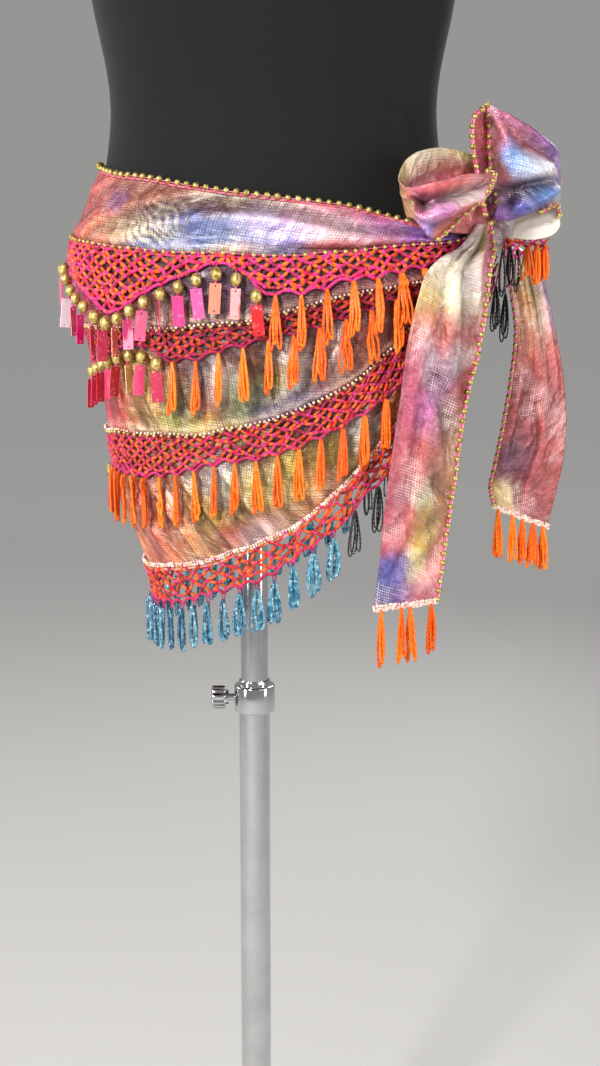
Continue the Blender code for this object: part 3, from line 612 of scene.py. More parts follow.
def smooth(low, high, value):
    """0 below `low`, 1 above `high` and a soft rise between."""
    share = np.clip((np.asarray(value, float) - low) / (high - low), 0.0, 1.0)
    return share * share * (3.0 - 2.0 * share)


def linear(code):
    """A six-figure colour code as linear red, green and blue."""
    levels = [int(code[at:at + 2], 16) / 255 for at in (0, 2, 4)]
    return tuple(
        level / 12.92 if level <= 0.04045 else ((level + 0.055) / 1.055) ** 2.4 for level in levels
    )


def draws(chance, low, high, things):
    """A random number between two values for each of some things."""
    return np.array([chance.uniform(low, high) for _ in things])


def unit(vectors):
    """Vectors drawn to a length of one."""
    return vectors / np.maximum(np.linalg.norm(vectors, axis=-1, keepdims=True), 1e-12)


def run_lengths(path):
    """How far each point of a path lies along it."""
    return np.concatenate(([0.0], np.cumsum(np.linalg.norm(np.diff(path, axis=0), axis=1))))


# ---- the scarf's surface ---------------------------------
def section_point(table, level, angle):
    """Points of level superellipse sections, in the sections' own plane."""
    half = table.at(level, "half") * MM
    sine, cosine = np.sin(angle), np.cos(angle)
    depth = np.where(cosine > 0, table.at(level, "front"), table.at(level, "back")) * MM
    reach = (np.abs(sine) ** SECTION_POWER + np.abs(cosine) ** SECTION_POWER) ** (-1.0 / SECTION_POWER)
    return np.stack((FORM_OFFSET_X + half * sine * reach, -depth * cosine * reach), axis=-1)


def turn_angle(side, turn):
    """Angle round the form of a turn, from the middle of the front."""
    turn = np.asarray(turn, float)
    return np.radians(-90.0 + turn if side == "front" else -90.0 - turn * BACK_STRETCH)


def fold_height(side, turn, drop):
    """Lift of the soft folds that the solids have, in metres."""
    lift = 0.0
    slant = 1.0 if side == "front" else 0.8
    for fold in records(FOLD_COLUMNS, FOLD_ROWS):
        along = turn - fold["turn"]
        across = (drop - fold["drop"] - fold["slope"] * along * slant) / fold["width"]
        lift = lift + fold["height"] * MM * np.exp(-across**2 - (along / fold["reach"]) ** 4)
    return lift


def crease_height(creases, x, y):
    """Lift from creases drawn between two places: a ridge, and the shallow hollow that follows it."""
    lift = np.zeros(np.broadcast(x, y).shape)
    for crease in records(CREASE_COLUMNS, creases):
        run = np.array([crease["x_2"] - crease["x_1"], crease["y_2"] - crease["y_1"]], float)
        length = np.hypot(*run)
        ahead = run / length
        far_x, far_y = x - crease["x_1"], y - crease["y_1"]
        share = (far_x * ahead[0] + far_y * ahead[1]) / length
        across = far_y * ahead[0] - far_x * ahead[1] - crease["bow"] * 4 * share * (1 - share)
        taper = smooth(-0.12, 0.18, share) * (1 - smooth(0.80, 1.12, share))
        ridge = np.exp(-(across / crease["width"]) ** 2)
        hollow = np.exp(-((across / crease["width"] - CREASE_ECHO_AT) ** 2))
        lift += crease["height"] * taper * (ridge - CREASE_ECHO * hollow)
    return lift


def crumple(x, y):
    """Small even unrest of a light cloth, from waves that bend one another; about -1 to 1."""
    bend = 2.1 * np.sin(0.031 * x + 0.047 * y + 0.6) + 1.3 * np.sin(0.083 * x - 0.052 * y + 2.1)
    slow = np.sin(0.16 * x + 0.11 * y + bend)
    quick = np.sin(0.37 * x - 0.29 * y + 1.7 * slow + 0.7 * bend)
    fine = np.sin(0.71 * x + 0.93 * y + 1.9 * quick)
    return 0.55 * slow + 0.30 * quick + 0.15 * fine


def eye_rings(side, turn, drop):
    """Ring creases round one place of the waistband: -1 to 1, and how strongly they show."""
    x = (turn - EYE["turn"]) * DEGREE_LENGTH / EYE["long"]
    y = drop - EYE["drop"] + 0.22 * x
    away = np.hypot(x, y) + 0.35 * crumple(turn * 0.9, drop * 0.6)
    shown = np.exp(-((away / EYE["reach"]) ** 4)) * (1.0 if side == "front" else 0.0)
    return np.cos(2 * np.pi * away / EYE["pitch"]), shown


def panel_relief(side, turn, drop):
    """Fine form of a panel: creases, a ridge over each net and the crumple between, in metres."""
    x, y = turn * DEGREE_LENGTH, drop
    if side == "back":
        x = x + BACK_SHIFT
    creases = [
        (x_1 * DEGREE_LENGTH, y_1, x_2 * DEGREE_LENGTH, y_2, *rest)
        for x_1, y_1, x_2, y_2, *rest in PANEL_CREASES
    ]
    lift = CREASE_DEPTH * crease_height(creases, x, y) + 0.55 * crumple(x, y)
    rings, shown = eye_rings(side, turn, drop)
    lift = lift + 0.45 * rings * shown
    for head in ("head_1", "head_2", "head_3"):
        seam = LINES.at(turn, head)
        lift = lift + 1.3 * np.exp(-(((drop - seam + 5.0) / 3.0) ** 2))
        lift = lift - 0.9 * np.exp(-(((drop - seam - 0.5) / 2.5) ** 2))
    return LOWEST_LIFT * MM + 0.5 * MM * np.logaddexp(0.0, (lift - LOWEST_LIFT) / 0.5)


def skin(side, turn, drop, out=0.0):
    """Points of the scarf's outer face, or `out` beyond it, and the outward direction there."""
    turn, drop = np.broadcast_arrays(np.asarray(turn, float), np.asarray(drop, float))
    angle = turn_angle(side, turn)
    here = section_point(CLOTH, drop, angle)
    ahead = section_point(CLOTH, drop, angle + 0.01)
    along = unit(ahead - here)
    outward = np.stack((along[..., 1], -along[..., 0]), axis=-1)
    stand_off = STAND_OFF[side] * smooth(GATHER_START, LAST_TURN, turn) ** 1.5
    lift = out + stand_off + fold_height(side, turn, drop) + panel_relief(side, turn, drop)
    flat = here + outward * np.asarray(lift)[..., None]
    points = np.concatenate((flat, (WAIST_HEIGHT - drop * MM)[..., None]), axis=-1)
    normals = np.concatenate((outward, np.zeros(turn.shape + (1,))), axis=-1)
    return points, normals


def hanging(side, turn, root, drop, out):
    """Points below `root` that hang plumb where the cloth draws in, and lie on it elsewhere."""
    top, outward = skin(side, turn, root, out)
    lying, _ = skin(side, turn, drop, out)
    axis = np.array([FORM_OFFSET_X, 0.0])
    plumb = np.concatenate((top[..., :2], lying[..., 2:]), axis=-1)
    further = np.linalg.norm(top[..., :2] - axis, axis=-1) - np.linalg.norm(lying[..., :2] - axis, axis=-1)
    share = smooth(-2.0 * MM, 2.0 * MM, further)[..., None]
    return lying + (plumb - lying) * share, outward


def even_turns(side, line, pitch, first=1.0, last=158.0):
    """Turns that part a line into even steps near `pitch` metres long."""
    turns = np.linspace(first, last, 400)
    points, _ = skin(side, turns, LINES.at(turns, line))
    lengths = run_lengths(points)
    count = max(2, round(lengths[-1] / pitch))
    return np.interp(np.linspace(0.0, lengths[-1], count + 1), lengths, turns)


# ---- meshes ----------------------------------------------
def add_piece(name, mesh, material, node_names):
    """A piece that the form wears, made of a mesh."""
    piece = bpy.data.objects.new(name, mesh)
    bpy.context.scene.collection.objects.link(piece)
    piece.data.materials.append(material)
    dress(piece, node_names, "form")
    return piece


def dress(piece, node_names, body):
    """Says which body carries a piece, and hides the solids it stands for."""
    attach(piece, body)
    if node_names:
        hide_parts(*node_names)


def paint(mesh, name, colours):
    """A colour for each point of a mesh."""
    layer = mesh.color_attributes.new(name, "FLOAT_COLOR", "POINT")
    full = np.ones((len(mesh.vertices), 4), np.float32)
    full[:, :3] = np.asarray(colours).reshape(-1, 3)
    layer.data.foreach_set("color", full.ravel())


def deselect():
    bpy.ops.object.select_all(action="DESELECT")


def apply_modifier(piece, kind, **settings):
    """Adds a modifier to a piece and settles it into the mesh."""
    deselect()
    bpy.context.view_layer.objects.active = piece
    piece.select_set(True)
    modifier = piece.modifiers.new(kind.lower(), kind)
    for key, value in settings.items():
        setattr(modifier, key, value)
    bpy.ops.object.modifier_apply(modifier=modifier.name)
    piece.select_set(False)


def cloth_piece(name, points, colours, faces_out, node_names, face, reverse):
    """A sheet of cloth through a grid of points, top row first, with its wall and its two sides."""
    rows, columns, _ = points.shape
    if not faces_out:
        points, colours = points[:, ::-1], colours[:, ::-1]
    index = np.arange(rows * columns).reshape(rows, columns)
    quads = np.stack((index[:-1, :-1], index[1:, :-1], index[1:, 1:], index[:-1, 1:]), axis=-1)
    mesh = bpy.data.meshes.new(name)
    mesh.from_pydata(points.reshape(-1, 3).tolist(), [], quads.reshape(-1, 4).tolist())
    paint(mesh, "dye", colours)
    flat = mesh.uv_layers.new(name="flat")
    places = thread_places(points).reshape(-1, 2)
    corner = np.empty(len(mesh.loops), np.int32)
    mesh.loops.foreach_get("vertex_index", corner)
    flat.data.foreach_set("uv", places[corner].astype(np.float32).ravel())
    mesh.shade_smooth()
    piece = add_piece(name, mesh, face, node_names)
    piece.data.materials.append(reverse)
    apply_modifier(
        piece, "SOLIDIFY", thickness=CLOTH_THICK, offset=-1.0, material_offset=1, material_offset_rim=0,
        use_quality_normals=True,
    )
    return piece


def flat_places(points):
    """Places on the flat cloth, in metres: how far each point lies along its row and down its column."""
    across = np.linalg.norm(np.diff(points, axis=1), axis=2)
    down = np.linalg.norm(np.diff(points, axis=0), axis=2)
    across = np.concatenate((np.zeros((len(points), 1)), np.cumsum(across, axis=1)), axis=1)
    down = np.concatenate((np.zeros((1, points.shape[1])), np.cumsum(down, axis=0)), axis=0)
    return np.stack((across, -down), axis=-1)


THREAD_REACH = 12        # lines of the grid, on either side, that even out the run of a thread


def evened(runs):
    """Runs of neighbouring lines, each evened out with the lines beside it."""
    padded = np.pad(runs, ((THREAD_REACH, THREAD_REACH), (0, 0)), mode="reflect", reflect_type="odd")
    window = range(2 * THREAD_REACH + 1)
    return sum(padded[first:first + len(runs)] for first in window) / len(window)


def thread_places(points):
    """Places on the flat cloth as its threads run: straight through every small crumple."""
    places = flat_places(points)
    return np.stack((evened(places[..., 0]), evened(places[..., 1].T).T), axis=-1)


def blend_dye(columns, rows, ground, x, y):
    """Colours of a wash of soft blots over a ground colour."""
    x_name, y_name, reach_x, reach_y = columns[:4]
    ground_share = 0.30
    total = np.full(x.shape, ground_share)
    colour = np.ones(x.shape + (3,)) * linear(ground) * ground_share
    for blot in records(columns, rows):
        away = ((x - blot[x_name]) / blot[reach_x]) ** 2 + ((y - blot[y_name]) / blot[reach_y]) ** 2
        share = 1.8 * np.exp(-0.5 * away**1.25)
        total = total + share
        colour = colour + share[..., None] * np.array(linear(DYES[blot["dye"]]))
    return colour / total[..., None]


STRAND_SIDES = 5


class Skein:
    """Strands and beads gathered into one mesh, with a colour for each point."""

    def __init__(self, name):
        self.name = name
        self.points, self.colours, self.faces = [], [], []
        self.count = 0

    def strands(self, paths, radii, colours, outward):
        """Tubes along many paths of equal point count: arrays of strand, point and value."""
        strands, steps, _ = paths.shape
        along = unit(np.gradient(paths, axis=1))
        beside = unit(np.cross(along, outward))
        above = np.cross(beside, along)
        angles = 2 * np.pi * np.arange(STRAND_SIDES) / STRAND_SIDES
        ring = (
            beside[:, :, None] * np.cos(angles)[None, None, :, None]
            + above[:, :, None] * np.sin(angles)[None, None, :, None]
        )
        radii = np.broadcast_to(radii, (strands, steps))
        points = paths[:, :, None] + ring * radii[:, :, None, None]
        shades = np.broadcast_to(colours, (strands, steps, 3))[:, :, None]
        shades = np.broadcast_to(shades, points.shape)
        index = np.arange(strands * steps * STRAND_SIDES).reshape(strands, steps, STRAND_SIDES) + self.count
        turned = np.roll(index, -1, axis=2)
        quads = np.stack((index[:, :-1], index[:, 1:], turned[:, 1:], turned[:, :-1]), axis=-1)
        self.faces += quads.reshape(-1, 4).tolist()
        self.faces += index[:, 0].tolist()
        self.faces += index[:, -1, ::-1].tolist()
        self.keep(points, shades)

    def beads(self, pattern, places, colours, scale=1.0, turns=None):
        """Copies of a small mesh, at places, each with its colour, scale and turn."""
        points, faces = pattern
        places = np.asarray(places, float).reshape(-1, 3)
        scale = np.broadcast_to(scale, (len(places),))
        copies = np.broadcast_to(points, (len(places),) + points.shape) * scale[:, None, None]
        if turns is not None:
            copies = np.einsum("nij,nkj->nki", turns, copies)
        copies = copies + places[:, None]
        shades = np.broadcast_to(np.asarray(colours, float).reshape(-1, 1, 3), copies.shape)
        for place in range(len(places)):
            start = self.count + place * len(points)
            self.faces += [[start + corner for corner in face] for face in faces]
        self.keep(copies, shades)

    def keep(self, points, shades):
        """Adds points, each with its colour, to those already gathered."""
        self.points.append(points.reshape(-1, 3))
        self.colours.append(shades.reshape(-1, 3))
        self.count += self.points[-1].shape[0]

    def finish(self, material, node_names, slot):
        """The piece made of all that was gathered."""
        mesh = bpy.data.meshes.new(self.name)
        mesh.from_pydata(np.concatenate(self.points).tolist(), [], self.faces)
        paint(mesh, "dye", np.concatenate(self.colours))
        mesh.shade_smooth()
        return add_piece(self.name, mesh, material, node_names)


def pattern_from(piece):
    """Points and faces of a primitive, which is then removed."""
    points = np.array([vert.co[:] for vert in piece.data.vertices])
    faces = [list(face.vertices) for face in piece.data.polygons]
    bpy.data.objects.remove(piece)
    return points, faces


def ball_pattern(radius, length, around=8, rings=6):
    """A bead: a ball drawn out along Z to its length."""
    deselect()
    bpy.ops.mesh.primitive_uv_sphere_add(segments=around, ring_count=rings, radius=radius)
    bead = bpy.context.object
    bead.scale = (1.0, 1.0, length / (2 * radius))
    bpy.ops.object.transform_apply(location=False, rotation=False, scale=True)
    return pattern_from(bead)


def knot_pattern(radius):
    """A thread knot or a very small bead: a ball of few faces."""
    deselect()
    bpy.ops.mesh.primitive_ico_sphere_add(subdivisions=1, radius=radius)
    return pattern_from(bpy.context.object)


def spangle_pattern(width, height, thick, hole):
    """A flat oblong spangle with a small hole near each end, hung from its top edge."""
    margin = 1.2 * MM
    columns = (-width / 2, -hole / 2, hole / 2, width / 2)
    rows = (-height, -height + margin, -height + margin + hole, -margin - hole, -margin, 0.0)
    faces_across, faces_down = len(columns) - 1, len(rows) - 1
    deselect()
    bpy.ops.mesh.primitive_grid_add(x_subdivisions=faces_across, y_subdivisions=faces_down, size=1.0)
    plate = bpy.context.object
    shape = bmesh.new()
    shape.from_mesh(plate.data)
    for vert in shape.verts:
        across = round((vert.co.x + 0.5) * faces_across)
        down = round((vert.co.y + 0.5) * faces_down)
        vert.co = (columns[across], 0.0, rows[down])
    holes = [
        face for face in shape.faces
        if abs(face.calc_center_median().x) < hole / 2
        and min(abs(face.calc_center_median().z + margin + hole / 2),
                abs(face.calc_center_median().z + height - margin - hole / 2)) < hole / 4
    ]
    bmesh.ops.delete(shape, geom=holes, context="FACES")
    shape.to_mesh(plate.data)
    shape.free()
    apply_modifier(plate, "SOLIDIFY", thickness=thick, offset=0.0)
    return pattern_from(plate)


# ---- shader fields ---------------------------------------
class Field:
    """A shader socket that takes part in sums; each operator adds its Math node."""

    def __init__(self, recipe, socket):
        self.recipe = recipe
        self.socket = socket

    def join(self, operation, first, second):
        return self.recipe.node("Math", {"operation": operation}, {0: first, 1: second})

    def __add__(self, other):
        return self.join("ADD", self, other)

    def __sub__(self, other):
        return self.join("SUBTRACT", self, other)

    def __rsub__(self, other):
        return self.join("SUBTRACT", other, self)

    def __mul__(self, other):
        return self.join("MULTIPLY", self, other)

    def __truediv__(self, other):
        return self.join("DIVIDE", self, other)

    def __pow__(self, other):
        return self.join("POWER", self, other)

    __radd__ = __add__
    __rmul__ = __mul__


class Recipe:
    """One material: its Principled shader, and the nodes that feed it."""

    def __init__(self, name, roughness=0.5, metallic=0.0, **constants):
        self.material = bpy.data.materials.new(name)
        self.material.use_nodes = True
        self.tree = self.material.node_tree
        self.shader = self.tree.nodes["Principled BSDF"]
        self.shader.inputs["Roughness"].default_value = roughness
        self.shader.inputs["Metallic"].default_value = metallic
        for name, value in constants.items():
            self.shader.inputs[name.replace("_", " ").title().replace("Ior", "IOR")].default_value = value

    def node(self, kind, settings, sockets, output=0):
        """A node of any kind: its settings, what goes into its sockets, and the output to read."""
        made = self.tree.nodes.new("ShaderNode" + kind)
        for name, value in settings.items():
            if name == "stops":
                self.fill_ramp(made.color_ramp, value)
            else:
                setattr(made, name, value)
        for name, value in sockets.items():
            if isinstance(value, Field):
                self.tree.links.new(value.socket, made.inputs[name])
            else:
                made.inputs[name].default_value = value
        return Field(self, made.outputs[output])

    def fill_ramp(self, ramp, stops):
        while len(ramp.elements) < len(stops):
            ramp.elements.new(0.5)
        for element, (place, code) in zip(ramp.elements, stops):
            element.position = place
            element.color = (*linear(code), 1.0)

    def noise(self, places, scale, detail=2.0, roughness=0.5):
        sockets = {"Vector": places, "Scale": scale, "Detail": detail, "Roughness": roughness}
        return self.node("TexNoise", {}, sockets)

    def step(self, value, low, high):
        """0 below `low`, 1 above `high` and a soft ramp between."""
        sockets = {"Value": value, "From Min": low, "From Max": high}
        return self.node("MapRange", {"interpolation_type": "SMOOTHSTEP"}, sockets)

    def mix(self, share, first, second, blend="MIX"):
        settings = {"data_type": "RGBA", "blend_type": blend, "clamp_factor": True}
        first, second = (value if isinstance(value, Field) else (*value, 1.0) for value in (first, second))
        return self.node("Mix", settings, {0: share, 6: first, 7: second}, 2)

    def split(self, vector):
        """The three parts of a vector."""
        return [self.node("SeparateXYZ", {}, {0: vector}, axis) for axis in range(3)]

    def merge(self, x, y, z=0.0):
        """A vector of three parts."""
        return self.node("CombineXYZ", {}, {0: x, 1: y, 2: z})

    def attribute(self, name):
        return self.node("Attribute", {"attribute_name": name}, {}, "Color")

    def places(self):
        """Places in the frame, for finishes of hard pieces and of small ones."""
        return self.node("TexCoord", {}, {}, "Object")

    def flat(self):
        """Places on the flat cloth, for the weave and all that follows it."""
        return self.node("UVMap", {"uv_map": "flat"}, {})

    def feed(self, name, field):
        """Lets a field drive an input of the Principled shader."""
        self.tree.links.new(field.socket, self.shader.inputs[name])

    def bump(self, height, strength, distance):
        sockets = {"Height": height, "Strength": strength, "Distance": distance}
        self.feed("Normal", self.node("Bump", {}, sockets, "Normal"))


# ---- finishes --------------------------------------------
WEAVE_PITCH = 2.05 * MM
RIB_PITCH = 1.7 * MM


def woven_grid(recipe, across, down, wander):
    """How dark the weave's check is: thin lines both ways, each of its own strength."""
    lines = []
    for run, seed in ((across, 0.3), (down, 7.9)):
        count = run / WEAVE_PITCH + wander * 0.26 + seed
        whole = recipe.node("Math", {"operation": "ROUND"}, {0: count})
        aside = recipe.node("Math", {"operation": "ABSOLUTE"}, {0: count - whole})
        chance = recipe.node("TexWhiteNoise", {"noise_dimensions": "1D"}, {"W": whole + seed * 3.1})
        lines.append((1 - recipe.step(aside, 0.06, 0.27)) * (chance * 0.65 + 0.35))
    return recipe.node("Math", {"operation": "MAXIMUM"}, {0: lines[0], 1: lines[1]})


def dyed_lame(name, pale, depth, blot, dark_thread):
    """Tie-dyed crinkle lame: a fine check, in places pale, painted glints along the threads, crushed all
    over.
    """
    recipe = Recipe(name, metallic=0.30, specular_ior_level=0.7, coat_weight=0.22, coat_roughness=0.22)
    flat = recipe.flat()
    across, down, _ = recipe.split(flat)
    wander = recipe.noise(flat, 60.0, 3.0) - 0.5
    drift = recipe.noise(flat, 24.0, 3.0)
    grid = woven_grid(recipe, across, down, wander)
    streaks = recipe.noise(recipe.merge(across * 1300.0, down * 160.0), 1.0, 3.0, 0.7)
    cross_streaks = recipe.noise(recipe.merge(across * 160.0, down * 1300.0), 1.0, 3.0, 0.7)
    cloud = recipe.noise(flat, blot, 4.0, 0.7)
    crush = recipe.noise(flat, 210.0, 4.0, 0.65)
    valley = recipe.node("Math", {"operation": "ABSOLUTE"}, {0: recipe.noise(flat, 52.0, 2.0) - 0.5})
    ridges = 1 - recipe.step(valley, 0.0, 0.16)
    dye = recipe.attribute("dye")
    deep = recipe.mix(depth, dye, dye, "MULTIPLY")
    tone = recipe.mix(recipe.step(cloud, 0.36, 0.64), deep, dye)
    lines = recipe.mix(recipe.step(drift, pale - 0.09, pale + 0.06), linear("fbf0f2"), linear(dark_thread))
    tone = recipe.mix(grid * recipe.step(cloud, 0.26, 0.52) * 0.70, tone, lines)
    # painted glints: pale streaks along the threads, painted into the base colour as highlights
    glint = recipe.step(streaks, 0.60, 0.72) * 0.40 + recipe.step(cross_streaks, 0.62, 0.74) * 0.30
    light = recipe.mix(0.55, dye, linear("fff4ee"))
    recipe.feed("Base Color", recipe.mix(glint * recipe.step(cloud, 0.48, 0.66), tone, light))
    recipe.feed("Roughness", 0.24 + cloud * 0.24)
    fine = crush * 1.6 + streaks * 0.4 + cross_streaks * 0.4 - grid * 0.35
    recipe.bump(fine + ridges * 2.0, 0.60, 0.0010)
    return recipe.material


def lame_reverse():
    """Wrong side of the cloth: off-white with the dye only just through."""
    recipe = Recipe("lame_reverse", roughness=0.5, sheen_weight=0.15)
    flat = recipe.flat()
    across, down, _ = recipe.split(flat)
    grid = woven_grid(recipe, across, down, recipe.noise(flat, 60.0, 3.0) - 0.5)
    cloud = recipe.noise(flat, 40.0, 3.0)
    tone = recipe.mix(0.06 + cloud * 0.10, linear("f6ece2"), recipe.attribute("dye"))
    recipe.feed("Base Color", recipe.mix(grid * 0.16, tone, linear("8c7a70")))
    recipe.bump(cloud * 1.4 - grid * 0.4, 0.3, 0.0008)
    return recipe.material


def crochet_thread():
    """Soft thread of the nets and knots, deeper in colour here and there."""
    recipe = Recipe("crochet_thread", roughness=0.66, sheen_weight=0.1, specular_ior_level=0.3)
    places = recipe.places()
    fibre = recipe.noise(places, 1400.0, 2.0)
    cloud = recipe.noise(places, 260.0, 2.0)
    dye = recipe.attribute("dye")
    deep = recipe.mix(1.0, dye, dye, "MULTIPLY")
    recipe.feed("Base Color", recipe.mix(recipe.step(cloud, 0.30, 0.58), deep, dye))
    recipe.bump(fibre + cloud, 0.7, 0.0006)
    return recipe.material


def glass_bead(name, roughness, coat):
    """Seed beads: clear depth of colour, a bright coat, and each bead a little different."""
    recipe = Recipe(name, coat_weight=coat, coat_roughness=0.08, specular_ior_level=0.45)
    places = recipe.places()
    spread = recipe.node("TexVoronoi", {}, {"Vector": places, "Scale": 520.0}, "Color")
    change = recipe.split(spread)[0]
    dye = recipe.attribute("dye")
    deep = recipe.mix(0.40, dye, dye, "MULTIPLY")
    tone = recipe.mix(recipe.step(change, 0.25, 0.85), deep, dye)
    recipe.feed("Base Color", tone)
    recipe.feed("Roughness", roughness + change * 0.14)
    return recipe.material


def blue_bead():
    """Silver-lined blue beads, some of them nearly white."""
    recipe = Recipe("blue_bead", metallic=0.25, coat_weight=0.7, coat_roughness=0.06)
    places = recipe.places()
    spread = recipe.node("TexVoronoi", {}, {"Vector": places, "Scale": 480.0}, "Color")
    change = recipe.split(spread)[0]
    lights = recipe.node("ValToRGB", {"stops": (
        (0.0, "0e3a54"), (0.28, "1c6086"), (0.54, "3a86a6"), (0.78, "7ab2c4"), (1.0, "cce6ea"),
    )}, {"Fac": change})
    recipe.feed("Base Color", recipe.mix(0.35, lights, recipe.attribute("dye")))
    recipe.feed("Roughness", 0.12 + change * 0.2)
    return recipe.material


def brass_bead():
    """Thin brass plating on the round and oval beads, a little tarnished."""
    recipe = Recipe("brass_bead", metallic=0.78)
    places = recipe.places()
    tarnish = recipe.noise(places, 420.0, 3.0)
    tone = recipe.node("ValToRGB", {"stops": (
        (0.30, "8a7238"), (0.46, "bea458"), (0.60, "dac684"), (0.80, "f2eac4"),
    )}, {"Fac": tarnish})
    recipe.feed("Base Color", tone)
    recipe.feed("Roughness", 0.32 + tarnish * 0.24)
    recipe.bump(tarnish, 0.15, 0.0003)
    return recipe.material


def spangle_finish():
    """Dyed plastic spangles with a glossy face and pale scuffs."""
    recipe = Recipe("spangle_finish", coat_weight=0.5, coat_roughness=0.12, specular_ior_level=0.6)
    places = recipe.places()
    scuff = recipe.noise(places, 300.0, 3.0)
    dye = recipe.attribute("dye")
    recipe.feed("Base Color", recipe.mix(recipe.step(scuff, 0.55, 0.85) * 0.3, dye, linear("ffe6ee")))
    recipe.feed("Roughness", 0.22 + scuff * 0.2)
    recipe.bump(scuff, 0.08, 0.0003)
    return recipe.material


def black_jersey():
    """Fine rib jersey stretched over the form."""
    recipe = Recipe(
        "black_jersey", roughness=0.85, sheen_weight=0.10, sheen_roughness=0.45, specular_ior_level=0.3
    )
    places = recipe.places()
    _, _, height = recipe.split(places)
    waver = recipe.noise(places, 14.0, 2.0) - 0.5
    phase = (height + waver * 0.0016) * (2 * math.pi / RIB_PITCH)
    rib = recipe.node("Math", {"operation": "SINE"}, {0: phase})
    lint = recipe.noise(places, 700.0, 3.0)
    cloud = recipe.noise(places, 9.0, 3.0)
    tone = recipe.mix(rib * 0.22 + cloud * 0.5, linear("0b0b0b"), linear("181817"))
    recipe.feed("Base Color", recipe.mix(recipe.step(lint, 0.66, 0.80) * 0.2, tone, linear("3a3b39")))
    recipe.bump(rib * 0.5 + lint * 0.5, 0.30, 0.0002)
    return recipe.material


def chrome():
    """Chromed tube, with fine draw lines along it and a few smears."""
    recipe = Recipe("chrome", metallic=1.0)
    places = recipe.places()
    x, y, z = recipe.split(places)
    drawn = recipe.noise(recipe.merge(x * 900.0, y * 900.0, z * 25.0), 1.0, 2.0)
    smear = recipe.noise(places, 45.0, 4.0)
    recipe.feed("Base Color", recipe.mix(smear, linear("b4b5b8"), linear("dcdddf")))
    recipe.feed("Roughness", 0.04 + smear * 0.07 + drawn * 0.05)
    return recipe.material


def powder_coat():
    """Fine-grained black coat, dusty in places."""
    recipe = Recipe("powder_coat", metallic=0.1, specular_ior_level=0.5)
    places = recipe.places()
    grain = recipe.noise(places, 900.0, 3.0)
    dust = recipe.noise(places, 16.0, 4.0)
    dusty = recipe.step(dust, 0.45, 0.75) * 0.5
    recipe.feed("Base Color", recipe.mix(dusty, linear("1c1c1e"), linear("38393b")))
    recipe.feed("Roughness", 0.42 + dust * 0.22)
    recipe.bump(grain, 0.4, 0.0003)
    return recipe.material


# ---- cloth of the scarf ----------------------------------
PANEL_COLUMNS = 170      # points of a panel's grid, from the left hip to the knot
PANEL_ROWS = 102         # and from its top edge to its hem
# how deep the painted shadow lies under each net, from its head to its edge
NET_SHADOWS = (("head_1", "edge_1", 0.60), ("head_2", "edge_2", 0.54), ("head_3", "edge_3", 0.36))


def relief_shading(lift, depth):
    """Painted light and shade from the relief: how much paler a cloth is painted on its ridges, and darker
    in its hollows.
    """
    return 1.0 + 0.36 * np.tanh(lift / depth)[..., None]


def panel_dye(side, turn, drop):
    """Dye of a panel, with painted light and shade laid on: a pale painted highlight along each seam,
    painted light and shade on the ring creases, painted shadow under the nets, and ridges painted paler and
    hollows darker.
    """
    x = turn + 2.2 * crumple(turn * 1.9, drop * 0.7) + 1.4 * np.sin(drop * 0.13 + turn * 0.05)
    y = drop + 3.6 * crumple(drop * 1.3 + 40, turn * 2.3)
    colour = blend_dye(BLOT_COLUMNS, BLOT_ROWS, GROUND_DYE, x, y)
    if side == "back":
        other = blend_dye(BLOT_COLUMNS, BLOT_ROWS, GROUND_DYE, 150.0 - 0.92 * x, y)
        colour = colour + (other - colour) * smooth(4.0, 30.0, turn)[..., None]
    # painted light and shade on the ring creases: cream on their crests, plum in their troughs
    rings, shown = eye_rings(side, turn, drop)
    for code, share in (("cream", smooth(0.1, 0.9, rings)), ("plum", smooth(0.2, 0.9, -rings))):
        share = 0.78 * share * shown
        colour = colour + (np.array(linear(DYES[code])) - colour) * share[..., None]
    # painted highlight: a pale band just above each seam, where the cloth bulges over it
    for line, over in (("head_2", 5.0), ("head_3", 5.0), ("hem", 2.0)):
        seam = LINES.at(turn, line) - over
        share = 0.62 * np.exp(-(((drop - seam) / 3.2) ** 2)) * (0.7 + 0.3 * crumple(turn * 3, drop))
        colour = colour + (np.array(linear(SEAM_HIGHLIGHT)) - colour) * share[..., None]
    # painted shadow: the cloth is painted darker under each net, from its head to just past its edge
    for head, edge, depth in NET_SHADOWS:
        past_edge = smooth(1.0, 11.0, drop - LINES.at(turn, edge))
        share = smooth(-1.0, 3.0, drop - LINES.at(turn, head)) * (1 - past_edge)
        colour = colour + (np.array(linear(NET_SHADE)) - colour) * depth * share[..., None]
    # painted light and shade: ridges painted paler, hollows darker
    return colour * relief_shading(panel_relief(side, turn, drop) / MM, 1.3)


def scarf_panel(side, face, reverse):
    """The cloth on one side, from the left hip's seam to the knot."""
    turns = np.linspace(SEAM_ANGLE, LAST_TURN, PANEL_COLUMNS)
    shares = np.linspace(0.0, 1.0, PANEL_ROWS)[:, None]
    top, hem = LINES.at(turns, "top"), LINES.at(turns, "hem")
    drop = top + (hem - top) * shares
    turn = np.broadcast_to(turns, drop.shape)
    points, _ = skin(side, turn, drop)
    colours = panel_dye(side, turn, drop)
    return cloth_piece(
        f"dyed_panel_{side}", points, colours, side == "front", [f"cloth_{side}"], face, reverse
    )


